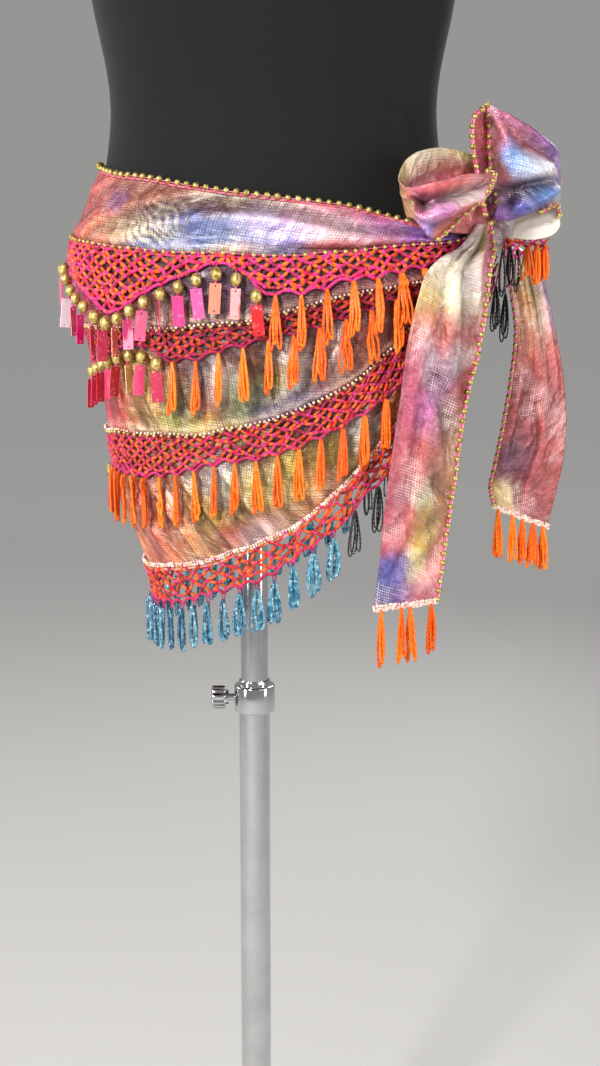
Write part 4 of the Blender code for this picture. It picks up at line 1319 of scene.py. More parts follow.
# ---- nets ------------------------------------------------
# A strand from knot to knot: how far along, how thick and how much of its bead's colour shows.
REACH_COLUMNS = ("share", "thick", "bead")
REACH_ROWS = (
    (0.0, 0.78, 0.0),
    (0.19, 0.85, 0.15),
    (0.36, 1.12, 1.0),
    (0.64, 1.12, 1.0),
    (0.81, 0.85, 0.15),
    (1.0, 0.78, 0.0),
)
PLAIN_STRANDS = 0.24     # share of the strands that look like plain thread
CORD_STEPS = 320         # points of the cord along a net's lower edge


def edge_arches(turns, line):
    """How far a net's lower edge is drawn up, in small arches, between the trims that hang from it."""
    rise = np.zeros(len(turns))
    for trim in records(TRIM_COLUMNS, TRIM_ROWS):
        if trim["line"] == line:
            phase = (turns - trim["first"]) / (trim["last"] - trim["first"]) * (trim["count"] - 1)
            inside = (phase > 0) & (phase < trim["count"] - 1)
            rise += np.where(inside, EDGE_ARCHES[trim["kind"]] * np.abs(np.sin(np.pi * phase)), 0.0)
    return rise


def crochet_net(side, net, material, knot):
    """A net of beaded thread: strands between knots, with as many meshes down as the band has room for."""
    head_line, edge_line = net["head"], net["edge"]
    turns = even_turns(side, head_line, net["pitch"] / 2 * MM)
    lap = HEM_LAP - 1.0 if head_line == "hem" else 0.0
    heads = LINES.at(turns, head_line) - lap
    edges = LINES.at(turns, edge_line) - edge_arches(turns, edge_line)
    counts = np.maximum(2, np.rint((edges - heads) / net["rise"])).astype(int)
    chance = random.Random(net["name"] + side)

    places = {}
    for column, (turn, head, edge, count) in enumerate(zip(turns, heads, edges, counts)):
        for level in range(count + 1):
            if (column + level) % 2 == 0:
                loose = 0.0 if level in (0, count) else 1.0
                shift = chance.uniform(-0.42, 0.42) * net["rise"] * loose
                aside = chance.uniform(-0.34, 0.34) * (turns[1] - turns[0]) * loose
                places[column, level] = (turn + aside, head + (edge - head) * level / count + shift)
    ends = []
    for (column, level), place in places.items():
        for level_step in (-1, 1):
            other = places.get((column + 1, level + level_step))
            if other:
                ends.append((place, other))

    starts, stops = (np.array(side_ends) for side_ends in zip(*ends))
    reach = {name: np.array(values) for name, values in zip(REACH_COLUMNS, zip(*REACH_ROWS))}
    share = reach["share"]
    run = starts[:, None] + (stops - starts)[:, None] * share[None, :, None]
    slack = draws(chance, 0.0, 0.22, ends)[:, None]
    sag = slack * net["rise"] * 4 * share * (1 - share)
    radius = net["radius"] * MM
    paths, outward = skin(side, run[..., 0], run[..., 1] + sag, NET_GAP + radius)
    spun = draws(chance, 0.82, 1.16, ends)[:, None]
    radii = spun * radius * reach["thick"]
    thread, bead, cross = (np.array(linear(net[name])) for name in ("thread", "bead", "knot"))
    plain = np.array([chance.random() < PLAIN_STRANDS for _ in ends])
    beaded = np.where(plain, 0.10, 1.0)[:, None, None] * reach["bead"][:, None]
    worn = draws(chance, 0.62, 1.22, ends)[:, None, None]
    skein = Skein(f"crochet_{net['name']}_{side}")
    skein.strands(paths, radii, (thread + (bead - thread) * beaded) * worn, outward)
    fine = np.linspace(turns[0], turns[-1], CORD_STEPS)
    cord = LINES.at(fine, edge_line) - edge_arches(fine, edge_line)
    path, outward = skin(side, fine, cord, NET_GAP + radius)
    skein.strands(path[None], radius, (thread + cross) / 2, outward[None])
    crossings = np.array(list(places.values()))
    knots, _ = skin(side, crossings[:, 0], crossings[:, 1], NET_GAP + radius + 0.3 * MM)
    skein.beads(knot, knots, [cross], draws(chance, 0.6, 1.15, knots) * net["radius"] / 0.95)
    return skein.finish(material, [f"{net['name']}_{side}"], "pink_net")


# ---- beaded edges ----------------------------------------
# rise over the line, pitch and width of the beads, arch of the thread, radius of the cord, pitch of
# the pale stitches (0 for none) and how far out it all lies, in mm
EDGE_COLUMNS = ("name", "line", "rise", "pitch", "bead", "thread", "arch", "cord", "lump", "out")
EDGE_ROWS = (
    ("top", "top", 1.5, 7.4, 4.8, "e27c96", 0.3, 0.8, 0.0, 0.4),
    ("head_1", "head_1", 0.6, 7.2, 3.7, "de489c", 1.2, 0.8, 0.0, 2.4),
    ("head_2", "head_2", 0.5, 6.8, 3.2, "8c1a3c", 1.3, 1.0, 3.4, 2.4),
    ("head_3", "head_3", 0.5, 6.8, 3.2, "961c3e", 1.3, 1.0, 3.4, 2.4),
    ("hem", "hem", 1.0, 11.6, 2.8, "e0a09c", 0.8, 1.1, 2.3, 2.2),
)
EDGE_SPAN = (0.6, 159.0)     # first and last turn of a row
GOLD = "d8b24c"
LUMP_COLOURS = ("f8ece0", "f6dcd2", "f8ece0", "eebcc0", "f6dcd2", "f2e2c4")


def scallops(turns, height):
    """Rise of a row of small arches whose feet are at the given turns, between them as well."""
    steps = 6
    fine = np.concatenate([np.linspace(a, b, steps, endpoint=False) for a, b in zip(turns, turns[1:])])
    phase = np.tile(np.arange(steps) / steps, len(turns) - 1)
    return fine, height * np.abs(np.sin(np.pi * phase))


def edge_trim(side, edge, thread, brass, ball, knot):
    """Row of small round beads on a line, with arches of thread, a cord and, on some, pale stitches."""
    turns = even_turns(side, edge["line"], edge["pitch"] * MM, *EDGE_SPAN)
    out = edge["out"] * MM
    chance = random.Random(edge["name"] + side)
    skein = Skein(f"picots_{edge['name']}_{side}")
    for rise, arch, radius in ((-0.9, edge["arch"], 0.55), (-1.9, -0.6, edge["cord"])):
        fine, height = scallops(turns, arch)
        drop = LINES.at(fine, edge["line"]) - edge["rise"] - rise - height
        path, outward = skin(side, fine, drop, out)
        skein.strands(path[None], radius * MM, linear(edge["thread"]), outward[None])
    if edge["lump"]:
        along = even_turns(side, edge["line"], edge["lump"] * MM, *EDGE_SPAN)
        for row, level in enumerate((1.9, 0.3) if edge["name"] == "hem" else (1.9,)):
            shift = draws(chance, -0.4, 0.4, along)
            drop = LINES.at(along, edge["line"]) - edge["rise"] - level + shift
            places, _ = skin(side, along + 0.15 * row, drop, out + 0.5 * MM)
            colours = [linear(chance.choice(LUMP_COLOURS)) for _ in along]
            sizes = draws(chance, 0.65, 1.0, along) * (edge["lump"] / 3.4) ** -0.3
            skein.beads(knot, places, colours, sizes)
    pieces = [skein.finish(thread, (), "pink_net")]

    shine = Skein(f"round_beads_{edge['name']}_{side}")
    places, _ = skin(side, turns, LINES.at(turns, edge["line"]) - edge["rise"], out + 0.9 * MM)
    sizes = draws(chance, 0.92, 1.08, turns) * edge["bead"] / 4.0
    shine.beads(ball, places, [linear(GOLD)], sizes)
    return pieces + [shine.finish(brass, (), "gold_beads")]


# ---- hanging trims ---------------------------------------
LOOP_BEADS = 27          # in each loop
STRAND_COLUMNS = ("finish", "colours", "fewest", "most", "radius", "neck", "slim", "wide", "thread")
STRAND_ROWS = (
    ("orange_beads", ("f67a08", "fa8a12", "ec6804"), 3, 4, 1.12, 0.72, 2.8, 4.6, 0.0),
    ("blue_beads", ("226a90", "3f8cac", "7ab6c6", "184e70"), 3, 4, 1.36, 0.60, 4.6, 8.4, 4.8),
    ("black_beads", ("0a0a0e", "16161c"), 2, 3, 0.80, 0.60, 3.6, 6.0, 0.0),
)
STRANDS = {row["finish"]: row for row in records(STRAND_COLUMNS, STRAND_ROWS)}


def teardrop(length, width):
    """Drop and sideways place along a strand doubled into a loop, bead by bead."""
    angle = np.linspace(0.0, 2 * np.pi, LOOP_BEADS * 2 + 1)
    down = (1 - np.cos(angle)) / 2
    narrow = 0.42 + 0.58 * down**1.1
    return down * length, np.sin(angle) * narrow * width / 2


def bead_radii(radius, neck):
    """Radius along a strand of seed beads: full at a bead's middle, narrow between beads."""
    return np.array([radius if at % 2 else radius * neck for at in range(LOOP_BEADS * 2 + 1)])


def loop_bundle(skein, threads, chance, place_of, length, style):
    """A bundle of bead loops from one root: place_of(across, drop, out) gives points and outward."""
    loops = chance.randint(style["fewest"], style["most"])
    thread = style["thread"] * MM * chance.uniform(0.7, 1.1)
    for number in range(loops):
        reach = (length - thread) * (chance.uniform(0.84, 0.98) if number else 1.0)
        down, aside = teardrop(reach, chance.uniform(style["slim"], style["wide"]) * MM)
        lean = (number - (loops - 1) / 2) * 1.6 * MM + chance.uniform(-0.5, 0.5) * MM
        swing = chance.uniform(-1.6, 1.6) * MM
        share = down / reach
        across = aside + (lean + swing * share) * share**0.8
        depth = (0.8 + 1.2 * number) * MM + 0.5 * MM * np.sin(np.linspace(0, 2 * np.pi, len(down)))
        path, outward = place_of(across, down + thread, depth)
        radii = bead_radii(style["radius"] * MM, style["neck"])
        skein.strands(path[None], radii, linear(chance.choice(style["colours"])), outward[None])
        if thread:
            for side_step in (-0.5, 0.5):
                leg_down = np.linspace(-1.0 * MM, thread + 1.5 * MM, 4)
                leg_aside = side_step * np.linspace(3.2, 1.0, 4) * MM
                path, outward = place_of(leg_aside, leg_down, np.full(4, 0.8 * MM))
                threads.strands(path[None], 0.5 * MM, linear("e050a0"), outward[None])


def loop_trim(side, trim, material, thread):
    """Beaded loops along one line of the scarf."""
    style = STRANDS[trim["finish"]]
    skein = Skein(f"bead_{trim['name']}_{side}")
    threads = Skein(f"legs_{trim['name']}_{side}")
    chance = random.Random(trim["name"] + side)
    for turn in np.linspace(trim["first"], trim["last"], trim["count"]):
        root = float(LINES.at(turn, trim["line"]))
        before, _ = skin(side, turn - 0.5, root)
        after, _ = skin(side, turn + 0.5, root)
        degree = np.linalg.norm(after - before)

        def place_of(across, down, depth, turn=turn, root=root, degree=degree):
            lean = trim["lean"] * MM * np.clip(down / (0.6 * trim["length"] * MM), 0, 1)
            return hanging(side, turn + across / degree, root, root + down / MM, TRIM_OUT + lean + depth)

        loop_bundle(skein, threads, chance, place_of, trim["length"] * MM, style)
    pieces = [skein.finish(material, [f"{trim['name']}_{side}"], trim["finish"])]
    if threads.count:
        pieces.append(threads.finish(thread, (), "pink_net"))
    return pieces


def upright(tilt, yaw):
    """Turns of hanging pieces: tilted in their own plane, then faced to a direction on the level."""
    turns = [Matrix.Rotation(y, 3, "Z") @ Matrix.Rotation(t, 3, "Y") for t, y in zip(tilt, yaw)]
    return np.array([np.array(turn) for turn in turns])


def drop_trim(side, trim, patterns, materials):
    """Drops of a gold oval bead and an oblong spangle, on a pink thread."""
    oval, spangle, tiny = patterns
    thread_finish, brass, spangle_look = materials
    chance = random.Random(trim["name"] + side)
    turns = np.linspace(trim["first"], trim["last"], trim["count"])
    root = LINES.at(turns, trim["line"])
    lean = trim["lean"] * MM

    def level(down, share):
        return hanging(side, turns, root, root + down, TRIM_OUT + 1.2 * MM + lean * share)

    high, outward = level(-1.0, 0.0)
    bead, _ = level(7.4, 0.55)
    neck, _ = level(13.2, 1.0)
    yaw = -np.arctan2(outward[:, 0], -outward[:, 1])
    tilt = np.radians(draws(chance, -7, 7, turns))
    twist = np.radians([chance.choice((0, 6, -6, 0, 30, -28, 72)) for _ in turns])
    facing = upright(tilt, yaw + twist)

    skein = Skein(f"threads_{trim['name']}_{side}")
    hung = np.stack((high, bead, neck), axis=1)
    skein.strands(hung, 0.45 * MM, linear("e8388c"), np.repeat(outward[:, None], 3, 1))
    skein.beads(tiny, neck + [0, 0, 0.4 * MM], [linear("f04c9c")], 0.8)
    pieces = [skein.finish(thread_finish, (), "pink_net")]
    gold = Skein(f"oval_beads_{trim['name']}_{side}")
    sizes = draws(chance, 0.88, 1.1, turns)
    gold.beads(oval, bead, [linear(GOLD)], sizes, upright(tilt * 0.5, yaw))
    pieces.append(gold.finish(brass, (), "gold_beads"))
    plates = Skein(f"spangles_{trim['name']}_{side}")
    shades = [linear(code) for code in SPANGLE_COLOURS[trim["name"]]]
    plates.beads(spangle, neck - [0, 0, 0.3 * MM], shades, 1.0, facing)
    plates_piece = plates.finish(spangle_look, [f"{trim['name']}_{side}"], "paillettes")
    for polygon in plates_piece.data.polygons:
        polygon.use_smooth = False
    return pieces + [plates_piece]


# ---- bow -------------------------------------------------
CLOTH_LINES = 40         # of a bow piece's grid, from one long edge to the other
LOOP_LINES = 130         # of a loop's grid, from the knot round the loop and back
TAIL_LINES = 154         # of a tail's grid, from the knot to its end
FOLD_LINE = 16           # of the right loop, along its folded peak
HEM_LINES = slice(58, 82)    # of the right loop, where its lower edge carries beads
AHEAD = (0.0, -1.0, 0.0)


def bow_grid(table_columns, rows, across_count, along_count, read):
    """Points of a bow piece by share across and along."""
    table = Table(table_columns, rows)
    key = np.linspace(table.keys[0], table.keys[-1], along_count)
    across = np.linspace(0.0, 1.0, across_count)
    return read(table, key, across)


def read_loop(table, key, across):
    """Rows from top to bottom; columns from the knot round the loop and back."""
    upper = np.stack([table.at(key, name) for name in ("x_top", "y_top", "drop_top")], axis=-1)
    lower = np.stack([table.at(key, name) for name in ("x_low", "y_low", "drop_low")], axis=-1)
    share = across[:, None, None]
    places = upper + (lower - upper) * share
    places[..., 0] += table.at(key, "sway") * np.sin(np.pi * np.sqrt(across))[:, None]
    places[..., 1] += table.at(key, "belly") * np.sin(np.pi * across)[:, None]
    return places


def read_tail(table, key, across):
    """Rows from top to bottom; columns from left to right."""
    left = np.stack([table.at(key, "x_left"), table.at(key, "y_left"), key], axis=-1)[:, None]
    right = np.stack([table.at(key, "x_right"), table.at(key, "y_right"), key], axis=-1)[:, None]
    places = left + (right - left) * across[None, :, None]
    wave = np.sin(np.pi * across) * (0.55 + 0.45 * np.cos(3.0 * np.pi * across))
    places[..., 1] -= table.at(key, "fold")[:, None] * wave
    places[..., 2] -= table.at(key, "slant")[:, None] * (1 - across)
    return places


def to_frame(places):
    """From mm beside the pole and below the waist to metres in the frame."""
    points = places * MM
    points[..., 2] = WAIST_HEIGHT - places[..., 2] * MM
    return points


def grid_normals(points):
    """Directions square to a grid of points."""
    down = np.gradient(points, axis=0)
    across = np.gradient(points, axis=1)
    return unit(np.cross(down, across))


def dent_height(dents, across, along):
    """Lift from hollows pressed into a cloth, each with a rolled rim."""
    lift = 0.0
    for dent in records(DENT_COLUMNS, dents):
        off_across = (across - dent["across"]) / dent["reach_across"]
        off_along = (along - dent["along"]) / dent["reach_along"]
        away = np.hypot(off_across, off_along)
        lift = lift - dent["depth"] * (np.exp(-(away**2)) - 0.32 * np.exp(-(((away - 1.7) / 0.5) ** 2)))
    return lift


def bow_cloth(name, node, places, dye, creases, shares, ground, face, reverse, calm=0.5, dents=()):
    """A piece of the bow: its places with creases and crumple laid on, and its dye, with painted light and
    shade from its relief.
    """
    across, along = shares
    points = to_frame(places)
    normals = grid_normals(points)
    run = flat_places(points)
    lift = crease_height(creases, across, along) + dent_height(dents, across, along)
    lift = lift + calm * crumple(run[..., 0] / MM + 31, run[..., 1] / MM)
    fade = smooth(0.0, 0.05, along) * (1 - 0.7 * smooth(0.96, 1.0, along))
    points = points + normals * (lift * fade * MM)[..., None]
    bent_across = across + 0.035 * crumple(along * 160, across * 40)
    bent_along = along + 0.018 * crumple(across * 60 + 9, along * 150)
    # painted light and shade from the creases and dents: ridges painted paler, hollows darker
    colours = blend_dye(PATCH_COLUMNS, dye, ground, bent_across, bent_along) * relief_shading(lift, 2.4)
    return cloth_piece(name, points, colours, True, [node], face, reverse), points


def bow_loop(name, node, rows, dye, creases, face, reverse, dents=()):
    """A loop of the bow: its share across runs down, and its share along runs round and back."""
    places = bow_grid(LOOP_COLUMNS, rows, CLOTH_LINES, LOOP_LINES, read_loop)
    down, round_it = np.linspace(0.0, 1.0, CLOTH_LINES), np.linspace(0.0, 1.0, LOOP_LINES)
    shares = np.meshgrid(down, round_it, indexing="ij")
    return bow_cloth(name, node, places, dye, creases, shares, "b46a74", face, reverse, 0.35, dents)


def tail(name, node, rows, dye, creases, face, reverse):
    """A hanging end of the scarf, from the knot down."""
    places = bow_grid(TAIL_COLUMNS, rows, CLOTH_LINES, TAIL_LINES, read_tail)
    shares = np.meshgrid(np.linspace(0.0, 1.0, CLOTH_LINES), np.linspace(0.0, 1.0, TAIL_LINES))
    return bow_cloth(name, node, places, dye, creases, shares, "ac5e5c", face, reverse)


def knot_wrap(face):
    """The wrapped knot: a pressed ball with the ridges of the cloth that binds it."""
    deselect()
    bpy.ops.mesh.primitive_uv_sphere_add(segments=72, ring_count=44, radius=1.0)
    piece = bpy.context.object
    piece.name = piece.data.name = "knot_wrap"
    ball = np.array([vert.co[:] for vert in piece.data.vertices])
    x, y, z = ball.T
    slant = z + 0.35 * x + 0.20 * y
    folds = 0.050 * np.sin(9.0 * slant + 0.8 * np.sin(4.0 * y)) + 0.022 * np.sin(23.0 * slant + 5.0 * y)
    ridge = 0.97 + folds * (1.0 - z**2)
    places = ball * np.array(KNOT_HALF) * [1, 1, -1] * ridge[:, None] + KNOT_CENTRE
    points = to_frame(places)
    piece.data.vertices.foreach_set("co", points.astype(np.float32).ravel())
    down, round_it = np.arccos(np.clip(z, -1, 1)) / np.pi, np.arctan2(y, x) / (2 * np.pi) % 1.0
    paint(piece.data, "dye", blend_dye(PATCH_COLUMNS, KNOT_DYE, GROUND_DYE, down, round_it))
    piece.data.uv_layers[0].name = "flat"
    layer = piece.data.uv_layers["flat"]
    corners = np.empty(len(piece.data.loops) * 2, np.float32)
    layer.data.foreach_get("uv", corners)
    cut = (0.15, 0.07)     # metres of cloth round the knot, and over it
    layer.data.foreach_set("uv", corners * np.tile(cut, len(piece.data.loops)).astype(np.float32))
    piece.data.materials.clear()
    piece.data.materials.append(face)
    piece.data.shade_smooth()
    dress(piece, ["knot"], "form")
    return piece


def resample(path, pitch):
    """Points along a path in even steps near `pitch` metres long."""
    lengths = run_lengths(path)
    count = max(2, round(lengths[-1] / pitch))
    at = np.linspace(0.0, lengths[-1], count + 1)
    return np.stack([np.interp(at, lengths, path[:, axis]) for axis in range(3)], axis=-1)


def beaded_border(name, path, bead, pitch, thread, brass, ball):
    """Round beads along a border of the bow, on a thin thread in arches and a thick one."""
    away = np.array(AHEAD)
    places = resample(path, pitch * MM)
    fine = resample(path, pitch / 8 * MM)
    phase = np.linspace(0.0, len(places) - 1.0, len(fine))
    outward = np.broadcast_to(away, fine.shape)
    sideways = unit(np.cross(np.gradient(fine, axis=0), outward))
    skein = Skein(f"border_thread_{name}")
    for reach, radius, code in ((0.9, 0.6, "f06a9c"), (-0.8, 0.8, "f4a8b4")):
        wave = reach * MM * np.abs(np.sin(np.pi * phase))[:, None]
        line = fine + sideways * wave + outward * 0.5 * MM
        skein.strands(line[None], radius * MM, linear(code), outward[None])
    cord = skein.finish(thread, (), "pink_net")
    chance = random.Random(name)
    sizes = draws(chance, 0.92, 1.08, places) * bead / 4.0
    shine = Skein(f"border_beads_{name}")
    shine.beads(ball, places + away * 0.9 * MM, [linear(GOLD)], sizes)
    return [cord, shine.finish(brass, (), "gold_beads")]


def tail_end(name, node, points, shares, length, thread, beads_finish, ball):
    """Rope of pale beads along the end of a tail, and the orange loops that hang from it."""
    end = points[-1]
    rope = Skein(f"rope_{name}")
    places = resample(end, 2.0 * MM)
    chance = random.Random(name)
    for level in (0.4, -1.5, -2.8):
        jitter = np.array([
            [chance.uniform(-0.5, 0.5), -0.8, level + chance.uniform(-0.4, 0.4)] for _ in places
        ])
        colours = [linear(chance.choice(LUMP_COLOURS)) for _ in places]
        rope.beads(ball, places + jitter * MM, colours, draws(chance, 0.45, 0.7, places))
    pieces = [rope.finish(thread, (), "pink_net")]

    skein = Skein(f"bead_{node}")
    lengths = run_lengths(end)
    for share in shares:
        root = np.array([np.interp(share * lengths[-1], lengths, end[:, axis]) for axis in range(3)])
        reach = length * chance.uniform(0.82, 1.0) * MM
        below = free_hang(root + [0, 0, -2.5 * MM])
        loop_bundle(skein, None, chance, below, reach, STRANDS["orange_beads"])
    return pieces + [skein.finish(beads_finish, [node], "orange_beads")]


def free_hang(root):
    """Places of a loop that hangs free from a root and faces the front."""

    def place_of(across, down, depth):
        path = root + np.stack((across, -1.4 * MM - depth, -down), axis=-1)
        return path, np.broadcast_to(AHEAD, path.shape)

    return place_of


# roots of the loose strands beside the knot: x and y from the pole axis, drop, length and finish
STRAY_COLUMNS = ("x", "y", "drop", "length", "finish")
STRAY_ROWS = (
    (189, -40, 106, 34, "black_beads"),
    (195, -36, 103, 30, "black_beads"),
    (201, -32, 104, 33, "black_beads"),
    (184, -44, 132, 34, "black_beads"),
    (192, -38, 138, 36, "black_beads"),
    (209, -30, 102, 26, "orange_beads"),
    (216, -29, 101, 30, "orange_beads"),
    (222, -27, 102, 27, "orange_beads"),
)
STRAY_COLOURS = ("e6328a", "f450ac", "ef6216", "c81c50")
STRAY_NET = {"left": (192, -38, 96), "right": (226, -26, 97), "depth": 15, "columns": 9, "levels": 4}


def stray_ends(finishes, thread):
    """End of the back panel's net, pulled out beside the knot, with its loose loops."""
    chance = random.Random("stray")
    left, right = np.array(STRAY_NET["left"], float), np.array(STRAY_NET["right"], float)
    columns, levels = STRAY_NET["columns"], STRAY_NET["levels"]
    places = {}
    for column in range(columns):
        for level in range(levels + 1):
            if (column + level) % 2 == 0:
                place = left + (right - left) * column / (columns - 1)
                place = place + [0, -1.5 * math.sin(column * 1.3), STRAY_NET["depth"] * level / levels]
                places[column, level] = to_frame(place[None])[0]
    ends = [
        (place, places[column + 1, level + step])
        for (column, level), place in places.items() for step in (-1, 1)
        if (column + 1, level + step) in places
    ]
    share = np.linspace(0.0, 1.0, 6)[None, :, None]
    starts, stops = (np.array(side_ends)[:, None] for side_ends in zip(*ends))
    paths = starts + (stops - starts) * share
    outward = np.broadcast_to(AHEAD, paths.shape)
    net = Skein("net_end_by_knot")
    colours = np.array([linear(chance.choice(STRAY_COLOURS)) for _ in ends])[:, None]
    net.strands(paths, 0.95 * MM, colours, outward)
    strays = {finish: Skein(f"stray_{finish}") for finish in ("black_beads", "orange_beads")}
    knot = to_frame(np.array([KNOT_CENTRE]) + [8, -24, 8])[0]
    for row in records(STRAY_COLUMNS, STRAY_ROWS):
        root = to_frame(np.array([[row["x"], row["y"], row["drop"]]], float))[0]
        style = STRANDS[row["finish"]]
        loop_bundle(strays[row["finish"]], None, chance, free_hang(root), row["length"] * MM, style)
        path = np.linspace(knot, root + [0, -1.6 * MM, 0], 5)
        net.strands(path[None], 0.6 * MM, linear("c83070"), np.broadcast_to(AHEAD, path.shape)[None])
    return [net.finish(thread, (), "pink_net")] + [
        skein.finish(finishes[finish], (), finish) for finish, skein in strays.items()
    ]


# ---- dress form and stand --------------------------------
FORM_AROUND = 112        # points round each level of the form
LEVELS_BETWEEN = 7       # from one named section to the next, both counted


def form_body(material):
    """The padded form: a cylinder cut into levels, each level laid on its section."""
    named = [row[0] for row in FORM_ROWS]
    rises = np.unique(np.concatenate([np.linspace(a, b, LEVELS_BETWEEN) for a, b in zip(named, named[1:])]))
    deselect()
    bpy.ops.mesh.primitive_cylinder_add(vertices=FORM_AROUND, radius=1.0, depth=1.0)
    body = bpy.context.object
    bpy.ops.object.mode_set(mode="EDIT")
    shape = bmesh.from_edit_mesh(body.data)
    upright_edges = [edge for edge in shape.edges if abs(edge.verts[0].co.z - edge.verts[1].co.z) > 0.5]
    bmesh.ops.subdivide_edges(shape, edges=upright_edges, cuts=len(rises) - 2, use_grid_fill=True)
    for vert in shape.verts:
        level = round((vert.co.z + 0.5) * (len(rises) - 1))
        angle = math.atan2(vert.co.x, -vert.co.y)
        x, y = section_point(FORM, rises[level], angle)
        vert.co = (x, y, WAIST_HEIGHT + rises[level] * MM)
    bmesh.update_edit_mesh(body.data)
    bpy.ops.object.mode_set(mode="OBJECT")
    bpy.ops.object.shade_smooth_by_angle(angle=math.radians(50))
    finish_hard(body, "jersey_form", material, ["dress_form"], "form")


def finish_hard(piece, name, material, nodes, body):
    """Settles a primitive's place into its mesh and hands it over."""
    deselect()
    piece.select_set(True)
    bpy.context.view_layer.objects.active = piece
    bpy.ops.object.transform_apply(location=True, rotation=True, scale=True)
    piece.name = name
    piece.data.name = name
    piece.data.materials.clear()
    piece.data.materials.append(material)
    piece.select_set(False)
    dress(piece, nodes, body)
    return piece


def turned_piece(profile, steps=72):
    """A turned part: a profile of radius and height, spun once round the axis in edit mode."""
    deselect()
    bpy.ops.mesh.primitive_plane_add(size=1.0)
    piece = bpy.context.object
    bpy.ops.object.mode_set(mode="EDIT")
    shape = bmesh.from_edit_mesh(piece.data)
    bmesh.ops.delete(shape, geom=shape.verts[:], context="VERTS")
    points = [shape.verts.new((radius, 0.0, height)) for radius, height in profile]
    for first, second in zip(points, points[1:]):
        shape.edges.new((first, second))
    bmesh.update_edit_mesh(piece.data)
    bpy.ops.mesh.select_all(action="SELECT")
    bpy.ops.mesh.spin(steps=steps, angle=2 * math.pi, center=(0, 0, 0), axis=(0, 0, 1))
    bpy.ops.mesh.select_all(action="SELECT")
    bpy.ops.mesh.remove_doubles(threshold=0.00002)
    bpy.ops.mesh.normals_make_consistent(inside=False)
    bpy.ops.object.mode_set(mode="OBJECT")
    bpy.ops.object.shade_smooth_by_angle(angle=math.radians(35))
    return piece


def soft_corner(radius, height, across, up, size, steps=3):
    """Profile points of a rounded corner: `across` and `up` point from it into the part."""
    points = []
    for step in range(steps + 1):
        angle = math.pi / 2 * step / steps
        inwards, upwards = 1 - math.sin(angle), 1 - math.cos(angle)
        points.append((radius + across * size * inwards, height + up * size * upwards))
    return points


def stand(metal, coat):
    """Round base plate with its hub, the outer tube and the inner tube that slides in it."""
    base = turned_piece(
        [(0.0, 0.0), (BASE_RADIUS - 1.5 * MM, 0.0), (BASE_RADIUS, 1.5 * MM)]
        + soft_corner(BASE_RADIUS, BASE_THICK, -1, -1, 2.2 * MM)[::-1]
        + [(HUB_RADIUS + 7 * MM, BASE_THICK), (HUB_RADIUS + 2 * MM, BASE_THICK + 2 * MM),
           (HUB_RADIUS, BASE_THICK + 6 * MM)]
        + soft_corner(HUB_RADIUS, HUB_HEIGHT, -1, -1, 1.5 * MM)[::-1]
        + [(TUBE_RADIUS + RUNNING_GAP, HUB_HEIGHT), (TUBE_RADIUS + RUNNING_GAP, TUBE_BOTTOM - RUNNING_GAP),
           (0.0, TUBE_BOTTOM - RUNNING_GAP)],
        128,
    )
    finish_hard(base, "stand_base", coat, ["base_plate"], "stand")
    lip = 1.3 * MM
    tube = turned_piece([
        (TUBE_BORE, TUBE_BOTTOM), (TUBE_RADIUS, TUBE_BOTTOM), (TUBE_RADIUS, TUBE_TOP - 9 * MM),
        (TUBE_RADIUS + 0.5 * MM, TUBE_TOP - 8.4 * MM), (TUBE_RADIUS + 0.5 * MM, TUBE_TOP - lip),
        (TUBE_RADIUS, TUBE_TOP), (TUBE_BORE, TUBE_TOP), (TUBE_BORE, TUBE_BOTTOM),
    ])
    finish_hard(tube, "outer_tube", metal, ["stand_tube"], "stand")
    mast = turned_piece([
        (MAST_BORE, MAST_BOTTOM), (MAST_RADIUS, MAST_BOTTOM), (MAST_RADIUS, MAST_TOP),
        (MAST_BORE, MAST_TOP), (MAST_BORE, MAST_BOTTOM),
    ])
    finish_hard(mast, "inner_tube", metal, ["mast_tube"], "mast")


def clamp(metal):
    """Clamp collar, and the fluted hand knob on the stud that enters it."""
    low, high = KNOB_HEIGHT - COLLAR_HALF, KNOB_HEIGHT + COLLAR_HALF
    bore = TUBE_RADIUS + RUNNING_GAP
    collar = turned_piece(
        [(bore, low)] + soft_corner(COLLAR_RADIUS, low, -1, 1, 1.2 * MM)
        + soft_corner(COLLAR_RADIUS, high, -1, -1, 1.2 * MM)[::-1] + [(bore, high), (bore, low)]
    )
    finish_hard(collar, "clamp_ring", metal, ["clamp_collar"], "stand")
    head, stud = 0.0094, 0.0029                         # radii
    tip, near, far = 0.0114, 0.0235, 0.0345             # from the pole's axis, out along the stud
    washer = near - 0.0025
    knob = turned_piece(
        [(0.0, tip), (stud, tip), (stud, washer), (0.0060, washer), (0.0064, near)]
        + soft_corner(head, near, -1, 1, 0.8 * MM) + soft_corner(head, far, -1, -1, 1.0 * MM)[::-1]
        + [(head - 2.0 * MM, far + 0.5 * MM), (head - 5.0 * MM, far - 0.8 * MM), (0.0, far - 0.8 * MM)],
        80,
    )
    for vert in knob.data.vertices:
        grip = smooth(0.80, 0.95, math.hypot(vert.co.x, vert.co.y) / head)
        vert.co.xy *= 1.0 + 0.045 * grip * math.cos(10 * math.atan2(vert.co.y, vert.co.x))
    knob.rotation_euler = (0.0, -math.pi / 2, 0.0)
    knob.location.z = KNOB_HEIGHT
    finish_hard(knob, "hand_knob", metal, ["clamp_knob"], "knob")


